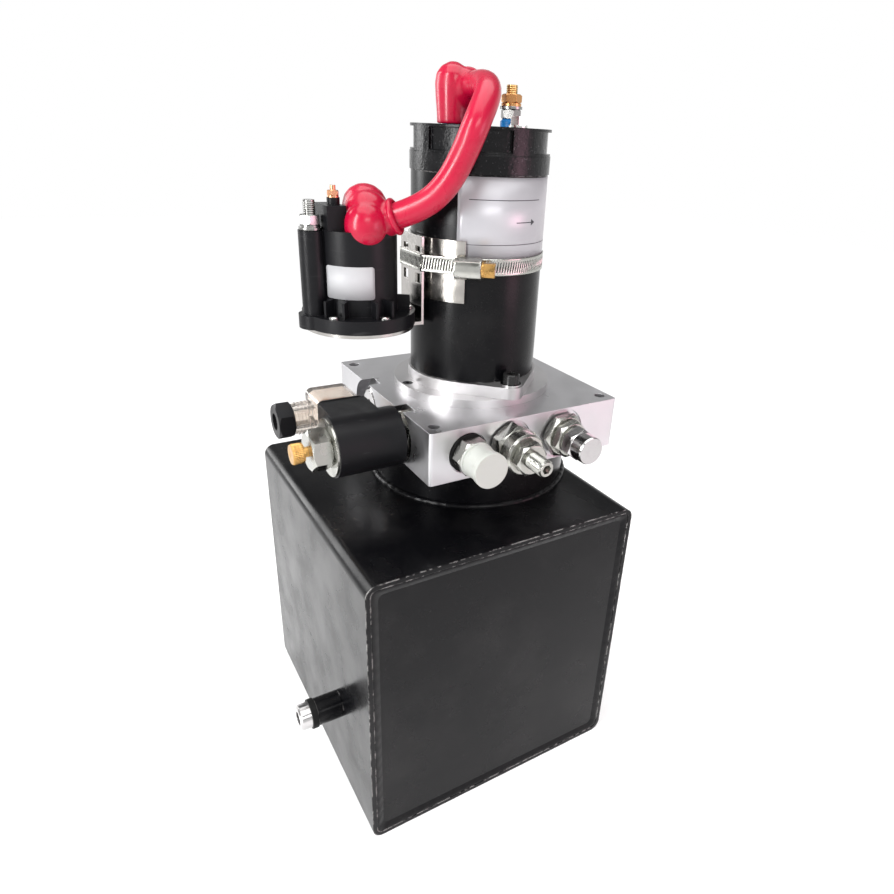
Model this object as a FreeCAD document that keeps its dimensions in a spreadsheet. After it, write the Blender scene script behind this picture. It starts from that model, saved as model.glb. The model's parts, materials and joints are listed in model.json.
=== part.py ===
import FreeCAD, Part
import math
import os

# Compact hydraulic power unit, in millimetres.
# Frame: +Z up, X along the front of the tank, -Y is the front face with the three fittings.
# "@name" in a rule is the sheet's cell of that name.
# Origin: centre of the tank's base.  Every size that can be set by itself is one cell of the sheet.

doc = FreeCAD.newDocument("hydraulic_power_unit")
sheet = doc.addObject("Spreadsheet::Sheet", "sizes")
pieces = {}

DRIVING = {
    # tank
    "tank_wide": 180, "tank_deep": 188, "tank_tall": 190, "tank_wall": 3, "tank_bend": 7,
    "plate_recess": 1.5, "plate_gap": 0.2, "weld_leg": 3,
    "neck_radius": 65, "neck_wall": 4.5, "neck_tall": 27,
    "drain_side": -42.5, "drain_high": 67, "drain_boss_radius": 8.5, "drain_boss_long": 16,
    "drain_bore": 5.5, "drain_head_radius": 8, "drain_head_long": 7, "drain_seal_thick": 3.5,
    "drain_seal_radius": 9.2, "drain_shank": 10, "drain_socket": 8, "drain_socket_deep": 4.5,
    # where the motor, neck and pump axis stands
    "axis_across": 29.5, "axis_back": 10,
    # manifold block
    "block_wide": 133.5, "block_deep": 137.5, "block_thick": 32.5, "block_corner": 2,
    "block_left": 65, "block_front": 67.5,
    "spigot_gap": 0.1, "spigot_tall": 18, "seal_wire": 1.6, "seal_high": 3.6,
    "corner_spacing": 120, "corner_bore": 3.4, "coupling_bore": 15,
    "neck_screw_radius": 3, "neck_screw_long": 13, "neck_screw_drop": 9,
    "pocket_radius": 17.2, "pocket_deep": 8, "valve_side": -16.6, "plug_side": 34,
    "port_across": -10.7, "flow_across": 17.6, "relief_across": 55.4,
    "spot_deep": 1.5, "port_spot": 12.6, "flow_spot": 15.2, "relief_spot": 16,
    "port_bore_deep": 26, "flow_bore_deep": 38, "relief_bore_deep": 38,
    "valve_bore_deep": 28, "plug_bore_deep": 16, "vent_bore_deep": 18,
    "pump_tap_deep": 11, "return_tap_deep": 12,
    "thread_fit": 0.05, "close_fit": 0.02, "gallery_radius": 3,
    # adaptor ring and motor flange
    "ring_radius": 50.7, "ring_thick": 5.2, "ring_bore": 24, "ring_screw_circle": 46.4,
    "ring_screw_radius": 2, "ring_screw_head": 3.4, "ring_screw_long": 12,
    "flange_thick": 7.3, "flange_radius": 41.5, "flange_lobe": 7.5, "bolt_circle": 46.9,
    "bolt_radius": 3, "bolt_head_radius": 5, "bolt_head_tall": 6, "bolt_washer_radius": 6.3,
    "bolt_washer_thick": 1.2, "bolt_grip": 24, "bolt_socket": 5, "bolt_socket_deep": 3.2,
    # motor
    "motor_radius": 40, "motor_wall": 3, "motor_long": 117, "magnet_thick": 7, "magnet_long": 66,
    "magnet_low": 24, "magnet_gap": 22, "air_gap": 0.8, "slot_count": 12, "slot_wide": 3,
    "slot_deep": 8, "shaft_radius": 6, "bearing_radius": 11, "bearing_tall": 7, "bearing_fit": 0.04,
    "top_shaft_radius": 5, "top_bearing_radius": 9, "commutator_radius": 13,
    "commutator_tall": 17, "commutator_low": 99, "brush_wide": 7, "brush_tall": 10, "brush_long": 11,
    "brush_fit": 0.1, "brush_spring_room": 4,
    "tie_radius": 2, "tie_inset": 3.5, "tie_turn": -85, "tie_flange": 5, "tie_flange_thick": 1.2,
    "tie_flats": 8, "tie_head": 4.2,
    "cap_radius": 40.7, "cap_collar": 9.6, "cap_tall": 23.5, "panel_deep": 2.2, "panel_count": 4,
    "panel_span": 69, "panel_turn": -130, "panel_sill": 1.2, "panel_rim": 1.5, "roof_thick": 9,
    "stud_radius": 3, "shank_relief": 0.5, "stud_out": 16.5, "stud_turn": -31.5,
    "stud_tall": 21.5, "stud_below": 10, "stud_free": 4.4, "stud_flange": 4.9,
    "stud_flange_thick": 1.6, "insulator_radius": 5.8, "insulator_top": 4.6,
    "insulator_tall": 3, "insulator_cone": 1.4, "nut_flats": 10, "nut_tall": 5,
    "upper_nut_tall": 4.6, "wide_washer": 6.3, "wide_washer_thick": 1.4,
    "lock_washer": 5.6, "lock_washer_thick": 1.6,
    # pump under the block
    "pump_wide": 46, "pump_deep": 66, "pump_front_thick": 14, "gear_wide": 24, "cover_thick": 13,
    "gear_module": 2, "gear_teeth": 11, "gear_side_gap": 0.05, "gear_tip_gap": 0.08,
    "pump_screw_radius": 3, "pump_screw_across": 17, "pump_screw_along": 27,
    "coupling_radius": 12, "coupling_long": 30, "suction_radius": 7, "suction_wall": 1,
    "strainer_radius": 17, "strainer_tall": 34, "strainer_high": 12,
    "return_radius": 6, "return_wall": 1, "return_high": 25, "return_across": -38,
    "return_along": 14, "suction_across": 13.5,
    # contactor beside the motor
    "contactor_across": -47.5, "contactor_high": 295, "base_radius": 31.25, "base_thick": 2,
    "rim_radius": 32, "rim_thick": 7.5, "case_radius": 22, "case_tall": 44.5, "case_wall": 2.5,
    "leg_face": -14.5, "leg_thick": 1.5, "leg_wide": 27.5, "leg_top": 345,
    "left_stud": -74, "right_stud": -44, "contactor_stud_back": 8, "post_radius": 6.6,
    "supply_below": 9.7, "supply_tall": 14.8, "supply_free": 7.2, "supply_washer": 6,
    "supply_lock": 5.2, "supply_washer_thick": 1.2,
    "barrier_across": -15.2, "barrier_along": -1.8, "barrier_wide": 10.6, "barrier_deep": 20,
    "barrier_tall": 12.5, "signal_across": -14, "signal_along": -4, "signal_post": 3.4,
    "signal_post_tall": 3.5, "signal_radius": 1.5,
    "rivet_radius": 1.8, "rivet_head": 2.8, "rivet_fit": 0.05, "rivet_inset": 4,
    "contactor_coil_tall": 34, "core_radius": 6.8, "bridge_high": 37.2,
    "saddle_low": 310, "saddle_high": 344.5, "saddle_thick": 1.4, "saddle_half_turn": 51,
    "skin_gap": 0.1,
    "band_low": 326, "band_tall": 9.5, "band_thick": 0.8,
    # solenoid valve on the left face
    "coil_radius": 18, "coil_long": 40, "coil_off": 2.7, "tube_radius": 7.5, "coil_back": 24.6,
    "valve_flats": 26, "valve_hex_long": 8.5, "coil_washer": 17, "coil_washer_thick": 1.5,
    "coil_nut_flats": 22, "coil_nut_long": 11.5, "knob_radius": 6, "knob_long": 7,
    "knob_gap": 2.6, "knob_stem": 3, "plunger_radius": 5, "plunger_long": 24,
    "plug_radius": 8, "plug_flats": 22, "plug_head": 5, "plug_socket": 8,
    "housing_wide": 27, "housing_deep": 25, "housing_tall": 27, "housing_wall": 2,
    "gasket_thick": 1.5, "core_wide": 17, "core_deep": 11, "entry_bore": 4.6,
    "spout_radius": 9.2, "spout_rib": 10, "spout_long": 13, "gland_flats": 20, "gland_long": 10,
    "gland_bore": 5.2, "screw_radius": 1.5,
    # front fittings
    "port_radius": 8, "port_seal": 12, "port_seal_thick": 2, "port_flats": 20, "port_hex": 8.5,
    "port_way": 4.5, "flow_radius": 8.5, "flow_flats": 26, "flow_hex": 9.5, "flow_neck": 12.8,
    "flow_stem": 5.25, "flow_nut": 18, "flow_nut_long": 6.5, "flow_socket": 5,
    "relief_radius": 9, "relief_flats": 25, "relief_hex": 6, "relief_neck": 8.6,
    "relief_nut": 21, "relief_cap_flats": 17.6, "poppet_radius": 5.9, "poppet_fit": 0.15,
    "spring_radius": 4.4, "spring_wire": 0.8, "spring_pitch": 4.9, "spring_long": 19.6,
    # filler breather behind the block
    "vent_across": 40, "vent_radius": 7, "vent_flats": 19, "vent_way": 2.5, "vent_cap": 12,
    # boots over the terminals
    "boot_gap": 0.3, "motor_boot": 10.4, "motor_boot_tall": 20.8, "motor_boot_room": 6.7,
    "motor_cuff": 10, "contactor_boot": 12, "contactor_boot_tall": 11,
    "contactor_boot_room": 6.4, "contactor_cuff": 15, "cuff_wall": 2,
}

DERIVED = {
    "block_base": "tank_tall + neck_tall",
    "block_top": "block_base + block_thick",
    "block_mid": "block_base + block_thick / 2",
    "block_x": "axis_across - block_left + block_wide / 2",
    "block_y": "axis_back - block_front + block_deep / 2",
    "block_face_left": "axis_across - block_left",
    "block_face_front": "axis_back - block_front",
    "block_face_back": "block_face_front + block_deep",
    "ring_top": "block_top + ring_thick",
    "flange_top": "ring_top + flange_thick",
    "tube_top": "flange_top + motor_long",
    "cap_top": "tube_top + cap_tall",
    "spigot_radius": "neck_radius - neck_wall - spigot_gap",
    "spigot_base": "block_base - spigot_tall",
    "magnet_inner": "motor_radius - motor_wall - 0.1 - magnet_thick",
    "armature_radius": "magnet_inner - air_gap",
    "gear_spacing": "gear_module * gear_teeth",
    "gear_tip": "gear_spacing / 2 + gear_module",
    "pump_y": "axis_back + gear_spacing / 2",
    "gear_top": "spigot_base - pump_front_thick",
    "cover_top": "gear_top - gear_wide",
    "pump_base": "cover_top - cover_thick",
    "rim_base": "contactor_high + base_thick",
    "case_base": "rim_base + rim_thick",
    "case_top": "case_base + case_tall",
    "valve_floor": "block_face_left + pocket_deep",
    "tie_out": "motor_radius - motor_wall - tie_inset",
    "shank_radius": "stud_radius - shank_relief",
    "spot_floor": "block_face_front + spot_deep",
    "coil_end": "coil_off + coil_long + coil_washer_thick",
}


def fill_sheet():
    row = 1
    for name, value in DRIVING.items():
        sheet.set("A%d" % row, name)
        sheet.set("B%d" % row, str(value))
        sheet.setAlias("B%d" % row, name)
        row += 1
    for name, formula in DERIVED.items():
        sheet.set("A%d" % row, name)
        sheet.set("B%d" % row, "=" + formula)
        sheet.setAlias("B%d" % row, name)
        row += 1
    doc.recompute()


def number(name):
    return float(getattr(sheet, name))


def rule(text):
    # "@name" in a rule stands for the sheet's cell of that name
    return str(text).replace("@", "sizes.")


def bind(item, **rules):
    for field, text in rules.items():
        item.setExpression(field.replace("__", "."), rule(text))
    return item


WAYS = {
    "up": ((1, 0, 0), 0), "down": ((1, 0, 0), 180), "front": ((1, 0, 0), 90),
    "back": ((1, 0, 0), -90), "left": ((0, 1, 0), -90), "right": ((0, 1, 0), 90),
}


def place(item, x=0, y=0, z=0, way="up", turn=0):
    # turn is about the item's own axis, before it is pointed the given way
    axis, angle = WAYS[way]
    spin = FreeCAD.Rotation(FreeCAD.Vector(0, 0, 1), turn)
    point = FreeCAD.Rotation(FreeCAD.Vector(*axis), angle)
    item.Placement = FreeCAD.Placement(FreeCAD.Vector(0, 0, 0), point.multiply(spin))
    return bind(item, Placement__Base__x=x, Placement__Base__y=y, Placement__Base__z=z)


def rod(radius, length, z=0, x=0, y=0, way="up"):
    item = doc.addObject("Part::Cylinder", "rod")
    bind(item, Radius=radius, Height=length)
    return place(item, x, y, z, way)


def taper(low, high, length, z=0, x=0, y=0, way="up"):
    item = doc.addObject("Part::Cone", "taper")
    bind(item, Radius1=low, Radius2=high, Height=length)
    return place(item, x, y, z, way)


def bar(wide, deep, tall, x=0, y=0, z=0, turn=0):
    # a box centred on x and y, standing on z
    item = doc.addObject("Part::Box", "bar")
    bind(item, Length=wide, Width=deep, Height=tall)
    middle = "(%s) - (%s) / 2"
    if turn == 0:
        return place(item, middle % (x, wide), middle % (y, deep), z)
    place(item, "0 - (%s) / 2" % wide, "0 - (%s) / 2" % deep, 0)
    return place(fuse([item]), x, y, z, turn=turn)


def hexagon(flats, length, z=0, x=0, y=0, turn=0):
    item = doc.addObject("Part::Prism", "hexagon")
    item.Polygon = 6
    bind(item, Circumradius="(%s) / 2 / cos(30 deg)" % flats, Height=length)
    return place(item, x, y, z, turn=turn)


def hex_nut(flats, length, z=0, x=0, y=0, turn=0):
    # a hexagon whose two ends are chamfered to a round face
    body = hexagon(flats, length, z, x, y, turn)
    ease = "(%s) * 0.09" % flats
    wide = "(%s) * 0.6" % flats
    face = "(%s) * 0.48" % flats
    low = taper(face, wide, ease, z, x, y)
    mid = rod(wide, "(%s) - 2 * %s" % (length, ease), "(%s) + %s" % (z, ease), x, y)
    high = taper(wide, face, ease, "(%s) + (%s) - %s" % (z, length, ease), x, y)
    return common(body, fuse([low, mid, high]))


def several(kind, items):
    item = doc.addObject(kind, "several")
    item.Shapes = items
    return item


def fuse(items):
    if len(items) == 1:
        return group(items)
    item = several("Part::MultiFuse", items)
    item.Refine = True
    return item


def group(items):
    item = doc.addObject("Part::Compound", "group")
    item.Links = items
    return item


def cut(base, tools):
    item = doc.addObject("Part::Cut", "cut")
    item.Base = base
    item.Tool = tools[0] if len(tools) == 1 else several("Part::MultiFuse", tools)
    item.Refine = True
    return item


def common(first, second):
    item = doc.addObject("Part::Common", "common")
    item.Base = first
    item.Tool = second
    item.Refine = True
    return item


def tube(outer, inner, length, z=0, x=0, y=0):
    return cut(rod(outer, length, z, x, y), [rod(inner, length, z, x, y)])


def pad(wide, deep, corner, tall, z=0, x=0, y=0):
    # an upright block with rounded vertical corners, centred on x and y
    parts = [
        bar("(%s) - 2 * (%s)" % (wide, corner), deep, tall, x, y, z),
        bar(wide, "(%s) - 2 * (%s)" % (deep, corner), tall, x, y, z),
    ]
    for side in (-1, 1):
        for end in (-1, 1):
            across = "(%s) + %d * ((%s) / 2 - (%s))" % (x, side, wide, corner)
            along = "(%s) + %d * ((%s) / 2 - (%s))" % (y, end, deep, corner)
            parts.append(rod(corner, tall, z, across, along))
    return fuse(parts)


def keep(item, label, x=0, y=0, z=0, way="up", turn=0):
    # a finished sub-part at its place: its label names its file, and pieces that share one are grouped
    holder = item
    if item.TypeId in ("Part::Box", "Part::Cylinder", "Part::Cone", "Part::Torus", "Part::Prism"):
        holder = group([item])
    place(holder, x, y, z, way, turn)
    pieces.setdefault(label, []).append(holder)
    return holder


def keep_shape(shape, label):
    # a sub-part whose outline is worked out in code from the sheet
    item = doc.addObject("Part::Feature", "shaped")
    item.Shape = shape
    pieces.setdefault(label, []).append(item)
    return item


def around(radius, angle):
    # a point's offset on a circle, as two rules
    return (
        "(%s) * cos(%s * 1 deg)" % (radius, angle),
        "(%s) * sin(%s * 1 deg)" % (radius, angle),
    )


# ---------------------------------------------------------------- tank


def make_tank():
    wall = "@tank_wall"
    outer = pad("@tank_wide", "@tank_tall", "@tank_bend", "@tank_deep")
    inner = pad(
        "@tank_wide - 2 * @tank_wall", "@tank_tall - 2 * @tank_wall",
        "@tank_bend - @tank_wall", "@tank_deep",
    )
    shell = cut(outer, [inner])
    place(shell, 0, "@tank_deep / 2", "@tank_tall / 2", "front")
    mouth = rod(
        "@neck_radius - @neck_wall", "@tank_wall + 2", "@tank_tall - @tank_wall - 1",
        "@axis_across", "@axis_back",
    )
    drain = rod(
        "@drain_bore + @thread_fit", "@tank_wall + 2", "@drain_high",
        "0 - @tank_wide / 2 - 1", "@drain_side", "right",
    )
    keep(cut(shell, [mouth, drain]), "tank_wrap")
    for label, side, way in (("tank_end_plates", -1, "front"), ("tank_end_plates", 1, "back")):
        plate = pad(
            "@tank_wide - 2 * (%s + @plate_gap)" % wall, "@tank_tall - 2 * (%s + @plate_gap)" % wall,
            "@tank_bend - @tank_wall - @plate_gap", "@tank_wall",
        )
        start = "%d * (@tank_deep / 2 - @plate_recess - @tank_wall)" % side
        keep(plate, label, 0, start, "@tank_tall / 2", way)
    for label, side, way in (("tank_welds", -1, "front"), ("tank_welds", 1, "back")):
        bead_outer = pad(
            "@tank_wide - 2 * %s - 0.1" % wall, "@tank_tall - 2 * %s - 0.1" % wall,
            "@tank_bend - @tank_wall", "@plate_recess",
        )
        bead_inner = pad(
            "@tank_wide - 2 * (%s + @weld_leg)" % wall, "@tank_tall - 2 * (%s + @weld_leg)" % wall,
            "1", "@plate_recess",
        )
        start = "%d * (@tank_deep / 2 - @plate_recess)" % side
        keep(cut(bead_outer, [bead_inner]), label, 0, start, "@tank_tall / 2", way)


def neck_screw_tools(radius, inner, length):
    tools = []
    for angle in (45, 135, 225, 315):
        across, along = around(inner, angle)
        tool = rod(radius, length)
        spin = FreeCAD.Rotation(FreeCAD.Vector(0, 0, 1), angle)
        lie = FreeCAD.Rotation(FreeCAD.Vector(0, 1, 0), 90)
        tool.Placement = FreeCAD.Placement(FreeCAD.Vector(0, 0, 0), spin.multiply(lie))
        bind(
            tool, Placement__Base__x="@axis_across + " + across,
            Placement__Base__y="@axis_back + " + along,
            Placement__Base__z="@block_base - @neck_screw_drop",
        )
        tools.append(tool)
    return tools


def make_neck():
    axis = ("@tank_tall", "@axis_across", "@axis_back")
    collar = tube("@neck_radius", "@neck_radius - @neck_wall", "@neck_tall", *axis)
    holes = neck_screw_tools(
        "@neck_screw_radius + @thread_fit", "@neck_radius - @neck_wall - 2", "@neck_wall + 4",
    )
    keep(cut(collar, holes), "tank_bosses")
    bead = cut(
        taper("@neck_radius + @weld_leg", "@neck_radius + 0.3", "@weld_leg", *axis),
        [rod("@neck_radius", "@weld_leg", *axis)],
    )
    keep(bead, "tank_welds")
    start = "@neck_radius - @neck_screw_long"
    keep(fuse(neck_screw_tools("@neck_screw_radius", start, "@neck_screw_long")), "block_screws")
    ring = doc.addObject("Part::Torus", "ring")
    bind(ring, Radius1="@spigot_radius - @seal_wire", Radius2="@seal_wire")
    keep(ring, "seal_rings", "@axis_across", "@axis_back", "@spigot_base + @seal_high")


def make_drain():
    boss = tube("@drain_boss_radius", "@drain_bore + @thread_fit", "@drain_boss_long")
    keep(boss, "tank_bosses", "0 - @tank_wide / 2", "@drain_side", "@drain_high", "left")
    face = "0 - @tank_wide / 2 - @drain_boss_long"
    seal = tube("@drain_seal_radius", "@drain_bore + @thread_fit", "@drain_seal_thick")
    keep(seal, "seal_rings", face, "@drain_side", "@drain_high", "left")
    shank_long = "@drain_shank + @drain_seal_thick"
    head = rod("@drain_head_radius", "@drain_head_long - 1")
    chamfer = taper("@drain_head_radius", "@drain_head_radius - 1", 1, "@drain_head_long - 1")
    shank = rod("@drain_bore", shank_long, "0 - (%s)" % shank_long)
    socket = hexagon(
        "@drain_socket", "@drain_socket_deep", "@drain_head_long - @drain_socket_deep",
    )
    plug = cut(fuse([head, chamfer, shank]), [socket])
    keep(plug, "hex_plugs", "%s - @drain_seal_thick" % face, "@drain_side", "@drain_high", "left")


# ---------------------------------------------------------------- manifold block

FRONT_PORTS = ("port", "flow", "relief")


def make_block():
    body = pad(
        "@block_wide", "@block_deep", "@block_corner", "@block_thick", "@block_base",
        "@block_x", "@block_y",
    )
    foot = ("@spigot_base", "@axis_across", "@axis_back")
    spigot = rod("@spigot_radius", "@spigot_tall", *foot)
    groove = tube(
        "@spigot_radius + 2", "@spigot_radius - 2 * @seal_wire", "2 * @seal_wire",
        "@spigot_base + @seal_high - @seal_wire", "@axis_across", "@axis_back",
    )
    tools = [rod("@coupling_bore", "@block_thick + @spigot_tall", *foot), groove]
    tools += neck_screw_tools(
        "@neck_screw_radius + @thread_fit", "@neck_radius - @neck_screw_long - 1",
        "@neck_screw_long + 4",
    )
    for side in (-1, 1):
        for end in (-1, 1):
            tools.append(rod(
                "@corner_bore", "@block_thick", "@block_base",
                "@block_x + %d * @corner_spacing / 2" % side,
                "@block_y + %d * @corner_spacing / 2" % end,
            ))
            tools.append(rod(
                "@pump_screw_radius + @thread_fit", "@pump_tap_deep", "@spigot_base",
                "@axis_across + %d * @pump_screw_across" % side,
                "@pump_y + %d * @pump_screw_along" % end,
            ))
        tools.append(rod(
            "@ring_screw_radius + @thread_fit", "@ring_screw_long", "@ring_top - @ring_screw_long - 1",
            "@axis_across + %d * @ring_screw_circle" % side, "@axis_back",
        ))
        tools.append(rod(
            "@bolt_radius + @thread_fit", "@bolt_grip", "@flange_top - @bolt_grip - 1",
            "@axis_across", "@axis_back + %d * @bolt_circle" % side,
        ))
    for port in FRONT_PORTS:
        across = "@%s_across" % port
        deep = "@%s_bore_deep" % port
        tools.append(rod("@%s_spot" % port, "@spot_deep", "@block_mid", across, "@spot_floor", "front"))
        tools.append(rod(
            "@%s_radius + @thread_fit" % port, deep, "@block_mid", across,
            "@block_face_front + " + deep, "front",
        ))
    for along in ("@valve_side", "@plug_side"):
        tools.append(rod("@pocket_radius", "@pocket_deep", "@block_mid", "@valve_floor", along, "left"))
    for radius, deep, along in (
        ("@tube_radius", "@valve_bore_deep", "@valve_side"),
        ("@plug_radius", "@plug_bore_deep", "@plug_side"),
    ):
        start = "@valve_floor + " + deep
        tools.append(rod(radius + " + @thread_fit", deep, "@block_mid", start, along, "left"))
    tools.append(rod(
        "@vent_radius + @thread_fit", "@vent_bore_deep", "@block_mid", "@block_x + @vent_across",
        "@block_face_back - @vent_bore_deep", "back",
    ))
    gallery_long = "@spigot_tall + @block_thick / 2"
    for across, along in (
        ("@valve_floor + 20", "@valve_side"), ("@axis_across + 25", "@block_face_front + 30"),
    ):
        tools.append(rod("@gallery_radius", gallery_long, "@spigot_base", across, along))
    tools.append(rod(
        "@return_radius + @thread_fit", "@return_tap_deep", "@spigot_base",
        "@axis_across + @return_across", "@axis_back + @return_along",
    ))
    keep(cut(fuse([body, spigot]), tools), "manifold_block")


def make_adaptor_ring():
    disc = rod("@ring_radius", "@ring_thick")
    tools = [rod("@ring_bore", "@ring_thick")]
    for side in (-1, 1):
        across = "%d * @ring_screw_circle" % side
        tools.append(rod("@ring_screw_radius + @thread_fit", "@ring_thick", 0, across))
        tools.append(taper(
            "@ring_screw_radius", "@ring_screw_head + 0.1", 2, "@ring_thick - 2", across,
        ))
        tools.append(rod("@bolt_radius + @thread_fit", "@ring_thick", 0, 0, "%d * @bolt_circle" % side))
    keep(cut(disc, tools), "adaptor_ring", "@axis_across", "@axis_back", "@block_top")
    screws = []
    for side in (-1, 1):
        across = "%d * @ring_screw_circle" % side
        shank = rod("@ring_screw_radius", "@ring_screw_long - 1", "0 - @ring_screw_long", across)
        head = taper("@ring_screw_radius", "@ring_screw_head", 1.8, "0 - 1.95", across)
        socket = hexagon(2.5, 1.2, "0 - 1.3", across)
        screws.append(cut(fuse([shank, head]), [socket]))
    keep(group(screws), "block_screws", "@axis_across", "@axis_back", "@ring_top")


def make_motor_flange():
    # outline: a round plate with two lobes, each blended to it by its own tangent lines
    parts = [rod("@flange_radius", "@flange_thick")]
    reach = number("bolt_circle")
    big = number("flange_radius")
    small = number("flange_lobe")
    turn = math.acos((big - small) / reach)
    thick = number("flange_thick")
    for side in (-1, 1):
        corners = []
        for hand in (-1, 1):
            across = hand * math.sin(turn)
            along = side * math.cos(turn)
            near = FreeCAD.Vector(big * across, big * along, 0)
            far = FreeCAD.Vector(small * across, side * reach + small * along, 0)
            corners += [near, far] if hand < 0 else [far, near]
        outline = Part.makePolygon(corners + [corners[0]])
        web = doc.addObject("Part::Feature", "web")
        web.Shape = Part.Face(outline).extrude(FreeCAD.Vector(0, 0, thick))
        parts.append(web)
        parts.append(rod("@flange_lobe", "@flange_thick", 0, 0, "%d * @bolt_circle" % side))
    parts.append(rod("@ring_bore - 0.1", 4, "0 - 4"))
    parts.append(rod("@bearing_radius + 5", 6, "@flange_thick"))
    tools = [
        rod("@shaft_radius + 1.5", "@flange_thick + 10", "0 - 4"),
        rod("@bearing_radius + @bearing_fit", "@bearing_tall + 1", "@flange_thick + 5 - @bearing_tall"),
    ]
    for side in (-1, 1):
        tools.append(rod("@bolt_radius + @thread_fit", "@flange_thick", 0, 0, "%d * @bolt_circle" % side))
    keep(cut(fuse(parts), tools), "motor_flange", "@axis_across", "@axis_back", "@ring_top")
    washers = []
    bolts = []
    for side in (-1, 1):
        along = "%d * @bolt_circle" % side
        washers.append(tube(
            "@bolt_washer_radius", "@bolt_radius + @thread_fit", "@bolt_washer_thick", 0, 0, along,
        ))
        top = "@bolt_washer_thick + @bolt_head_tall"
        head = fuse([
            rod("@bolt_head_radius", "@bolt_head_tall - 0.6", "@bolt_washer_thick", 0, along),
            taper("@bolt_head_radius", "@bolt_head_radius - 0.6", 0.6, top + " - 0.6", 0, along),
            rod("@bolt_radius", "@bolt_grip + @bolt_washer_thick", "0 - @bolt_grip", 0, along),
        ])
        socket = hexagon("@bolt_socket", "@bolt_socket_deep", top + " - @bolt_socket_deep", 0, along)
        bolts.append(cut(head, [socket]))
    keep(group(washers), "motor_bolts", "@axis_across", "@axis_back", "@flange_top")
    keep(group(bolts), "motor_bolts", "@axis_across", "@axis_back", "@flange_top")


# ---------------------------------------------------------------- motor


def on_axis(item, label, high):
    return keep(item, label, "@axis_across", "@axis_back", high)


def tie_place(side):
    # the two long bolts that hold the motor's end cap down
    return around("%d * @tie_out" % side, "@tie_turn")


def make_motor_shell():
    shell = tube("@motor_radius", "@motor_radius - @motor_wall", "@motor_long")
    on_axis(shell, "motor_tube", "@flange_top")
    inside = "@motor_radius - @motor_wall - 0.1"
    magnets = cut(
        tube(inside, "@magnet_inner", "@magnet_long"),
        [bar("2 * @motor_radius", "@magnet_gap", "@magnet_long", turn=number("tie_turn"))],
    )
    on_axis(magnets, "field_magnets", "@flange_top + @magnet_low")
    bolts = []
    top = "@motor_long + @cap_tall"
    for side in (-1, 1):
        across, along = tie_place(side)
        bolts.append(fuse([
            rod("@tie_radius", top + " - 0.2", 0.2, across, along),
            rod("@tie_flange", "@tie_flange_thick", top, across, along),
            hexagon("@tie_flats", "@tie_flange_thick + @tie_head", top, across, along),
        ]))
    on_axis(group(bolts), "motor_bolts", "@flange_top")


def make_rotor():
    # one stiff body: core, windings, commutator, shaft, coupling and the pump's drive gear
    slots = []
    for index in range(int(number("slot_count"))):
        angle = 360.0 * index / number("slot_count")
        across, along = around("@armature_radius - @slot_deep / 2 + 0.5", angle)
        slots.append(bar("@slot_deep + 1", "@slot_wide", "@magnet_long", across, along, 0, angle))
    core = cut(rod("@armature_radius", "@magnet_long"), slots + [rod("@shaft_radius", "@magnet_long")])
    on_axis(core, "armature_core", "@flange_top + @magnet_low")
    ends = [
        tube("@armature_radius - 3", "@shaft_radius", 8, "0 - 8"),
        tube("@armature_radius - 4", "@shaft_radius", 5, "@magnet_long"),
    ]
    on_axis(group(ends), "armature_copper", "@flange_top + @magnet_low")
    bars = tube("@commutator_radius", "@shaft_radius", "@commutator_tall")
    on_axis(bars, "armature_copper", "@flange_top + @commutator_low")
    foot = "0 - 22"
    shaft = fuse([
        rod("@shaft_radius", "@cap_top - 13 - @ring_top + 22", foot),
        rod("@top_shaft_radius", 7.4, "@cap_top - 13 - @ring_top"),
    ])
    on_axis(shaft, "motor_shaft", "@ring_top")
    sleeve = cut(
        tube("@coupling_radius", "@shaft_radius", "@coupling_long"),
        [bar(30, 1.2, "@coupling_long / 3", 0, 0, "@coupling_long / 3")],
    )
    on_axis(sleeve, "shaft_coupling", "@ring_top - 22 - @coupling_long / 2")


def make_motor_bearings():
    low = "@ring_top + @flange_thick + 5 - @bearing_tall"
    for outer, inner, high in (
        ("@bearing_radius", "@shaft_radius + @close_fit", low),
        ("@top_bearing_radius", "@top_shaft_radius + @close_fit", "@cap_top - 12.5"),
    ):
        race = tube(outer, inner, "@bearing_tall")
        shield = tube("%s - 2" % outer, "%s + 1.6" % inner, 0.6)
        lid = tube("%s - 2" % outer, "%s + 1.6" % inner, 0.6, "@bearing_tall - 0.6")
        on_axis(cut(race, [shield, lid]), "shaft_bearings", high)


def make_brushes():
    deck = "@flange_top + @commutator_low - 3"
    plate = tube("@motor_radius - @motor_wall - 0.2", "@commutator_radius + 1.5", 2)
    holders = [plate]
    tools = []
    brushes = []
    for angle in (0, 90, 180, 270):
        across, along = around("@commutator_radius + 0.4 + @brush_long / 2", angle)
        far_x, far_y = around(
            "@commutator_radius + @brush_spring_room + @brush_long / 2", angle,
        )
        holders.append(bar("@brush_long", "@brush_wide + 3", "@brush_tall + 2", far_x, far_y, 2, angle))
        tools.append(bar(
            "@brush_long + 30", "@brush_wide + 2 * @brush_fit", "@brush_tall + @brush_fit",
            far_x, far_y, 3, angle,
        ))
        brushes.append(bar("@brush_long", "@brush_wide", "@brush_tall", across, along, 3, angle))
    for side in (-1, 1):
        bolt_x, bolt_y = tie_place(side)
        tools.append(rod("@tie_radius + 0.2", 3, "0 - 0.5", bolt_x, bolt_y))
    on_axis(cut(fuse(holders), tools), "brush_gear", deck)
    on_axis(group(brushes), "brush_gear", deck)


def stud_place(side):
    return around("%d * @stud_out" % side, "@stud_turn")


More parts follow.
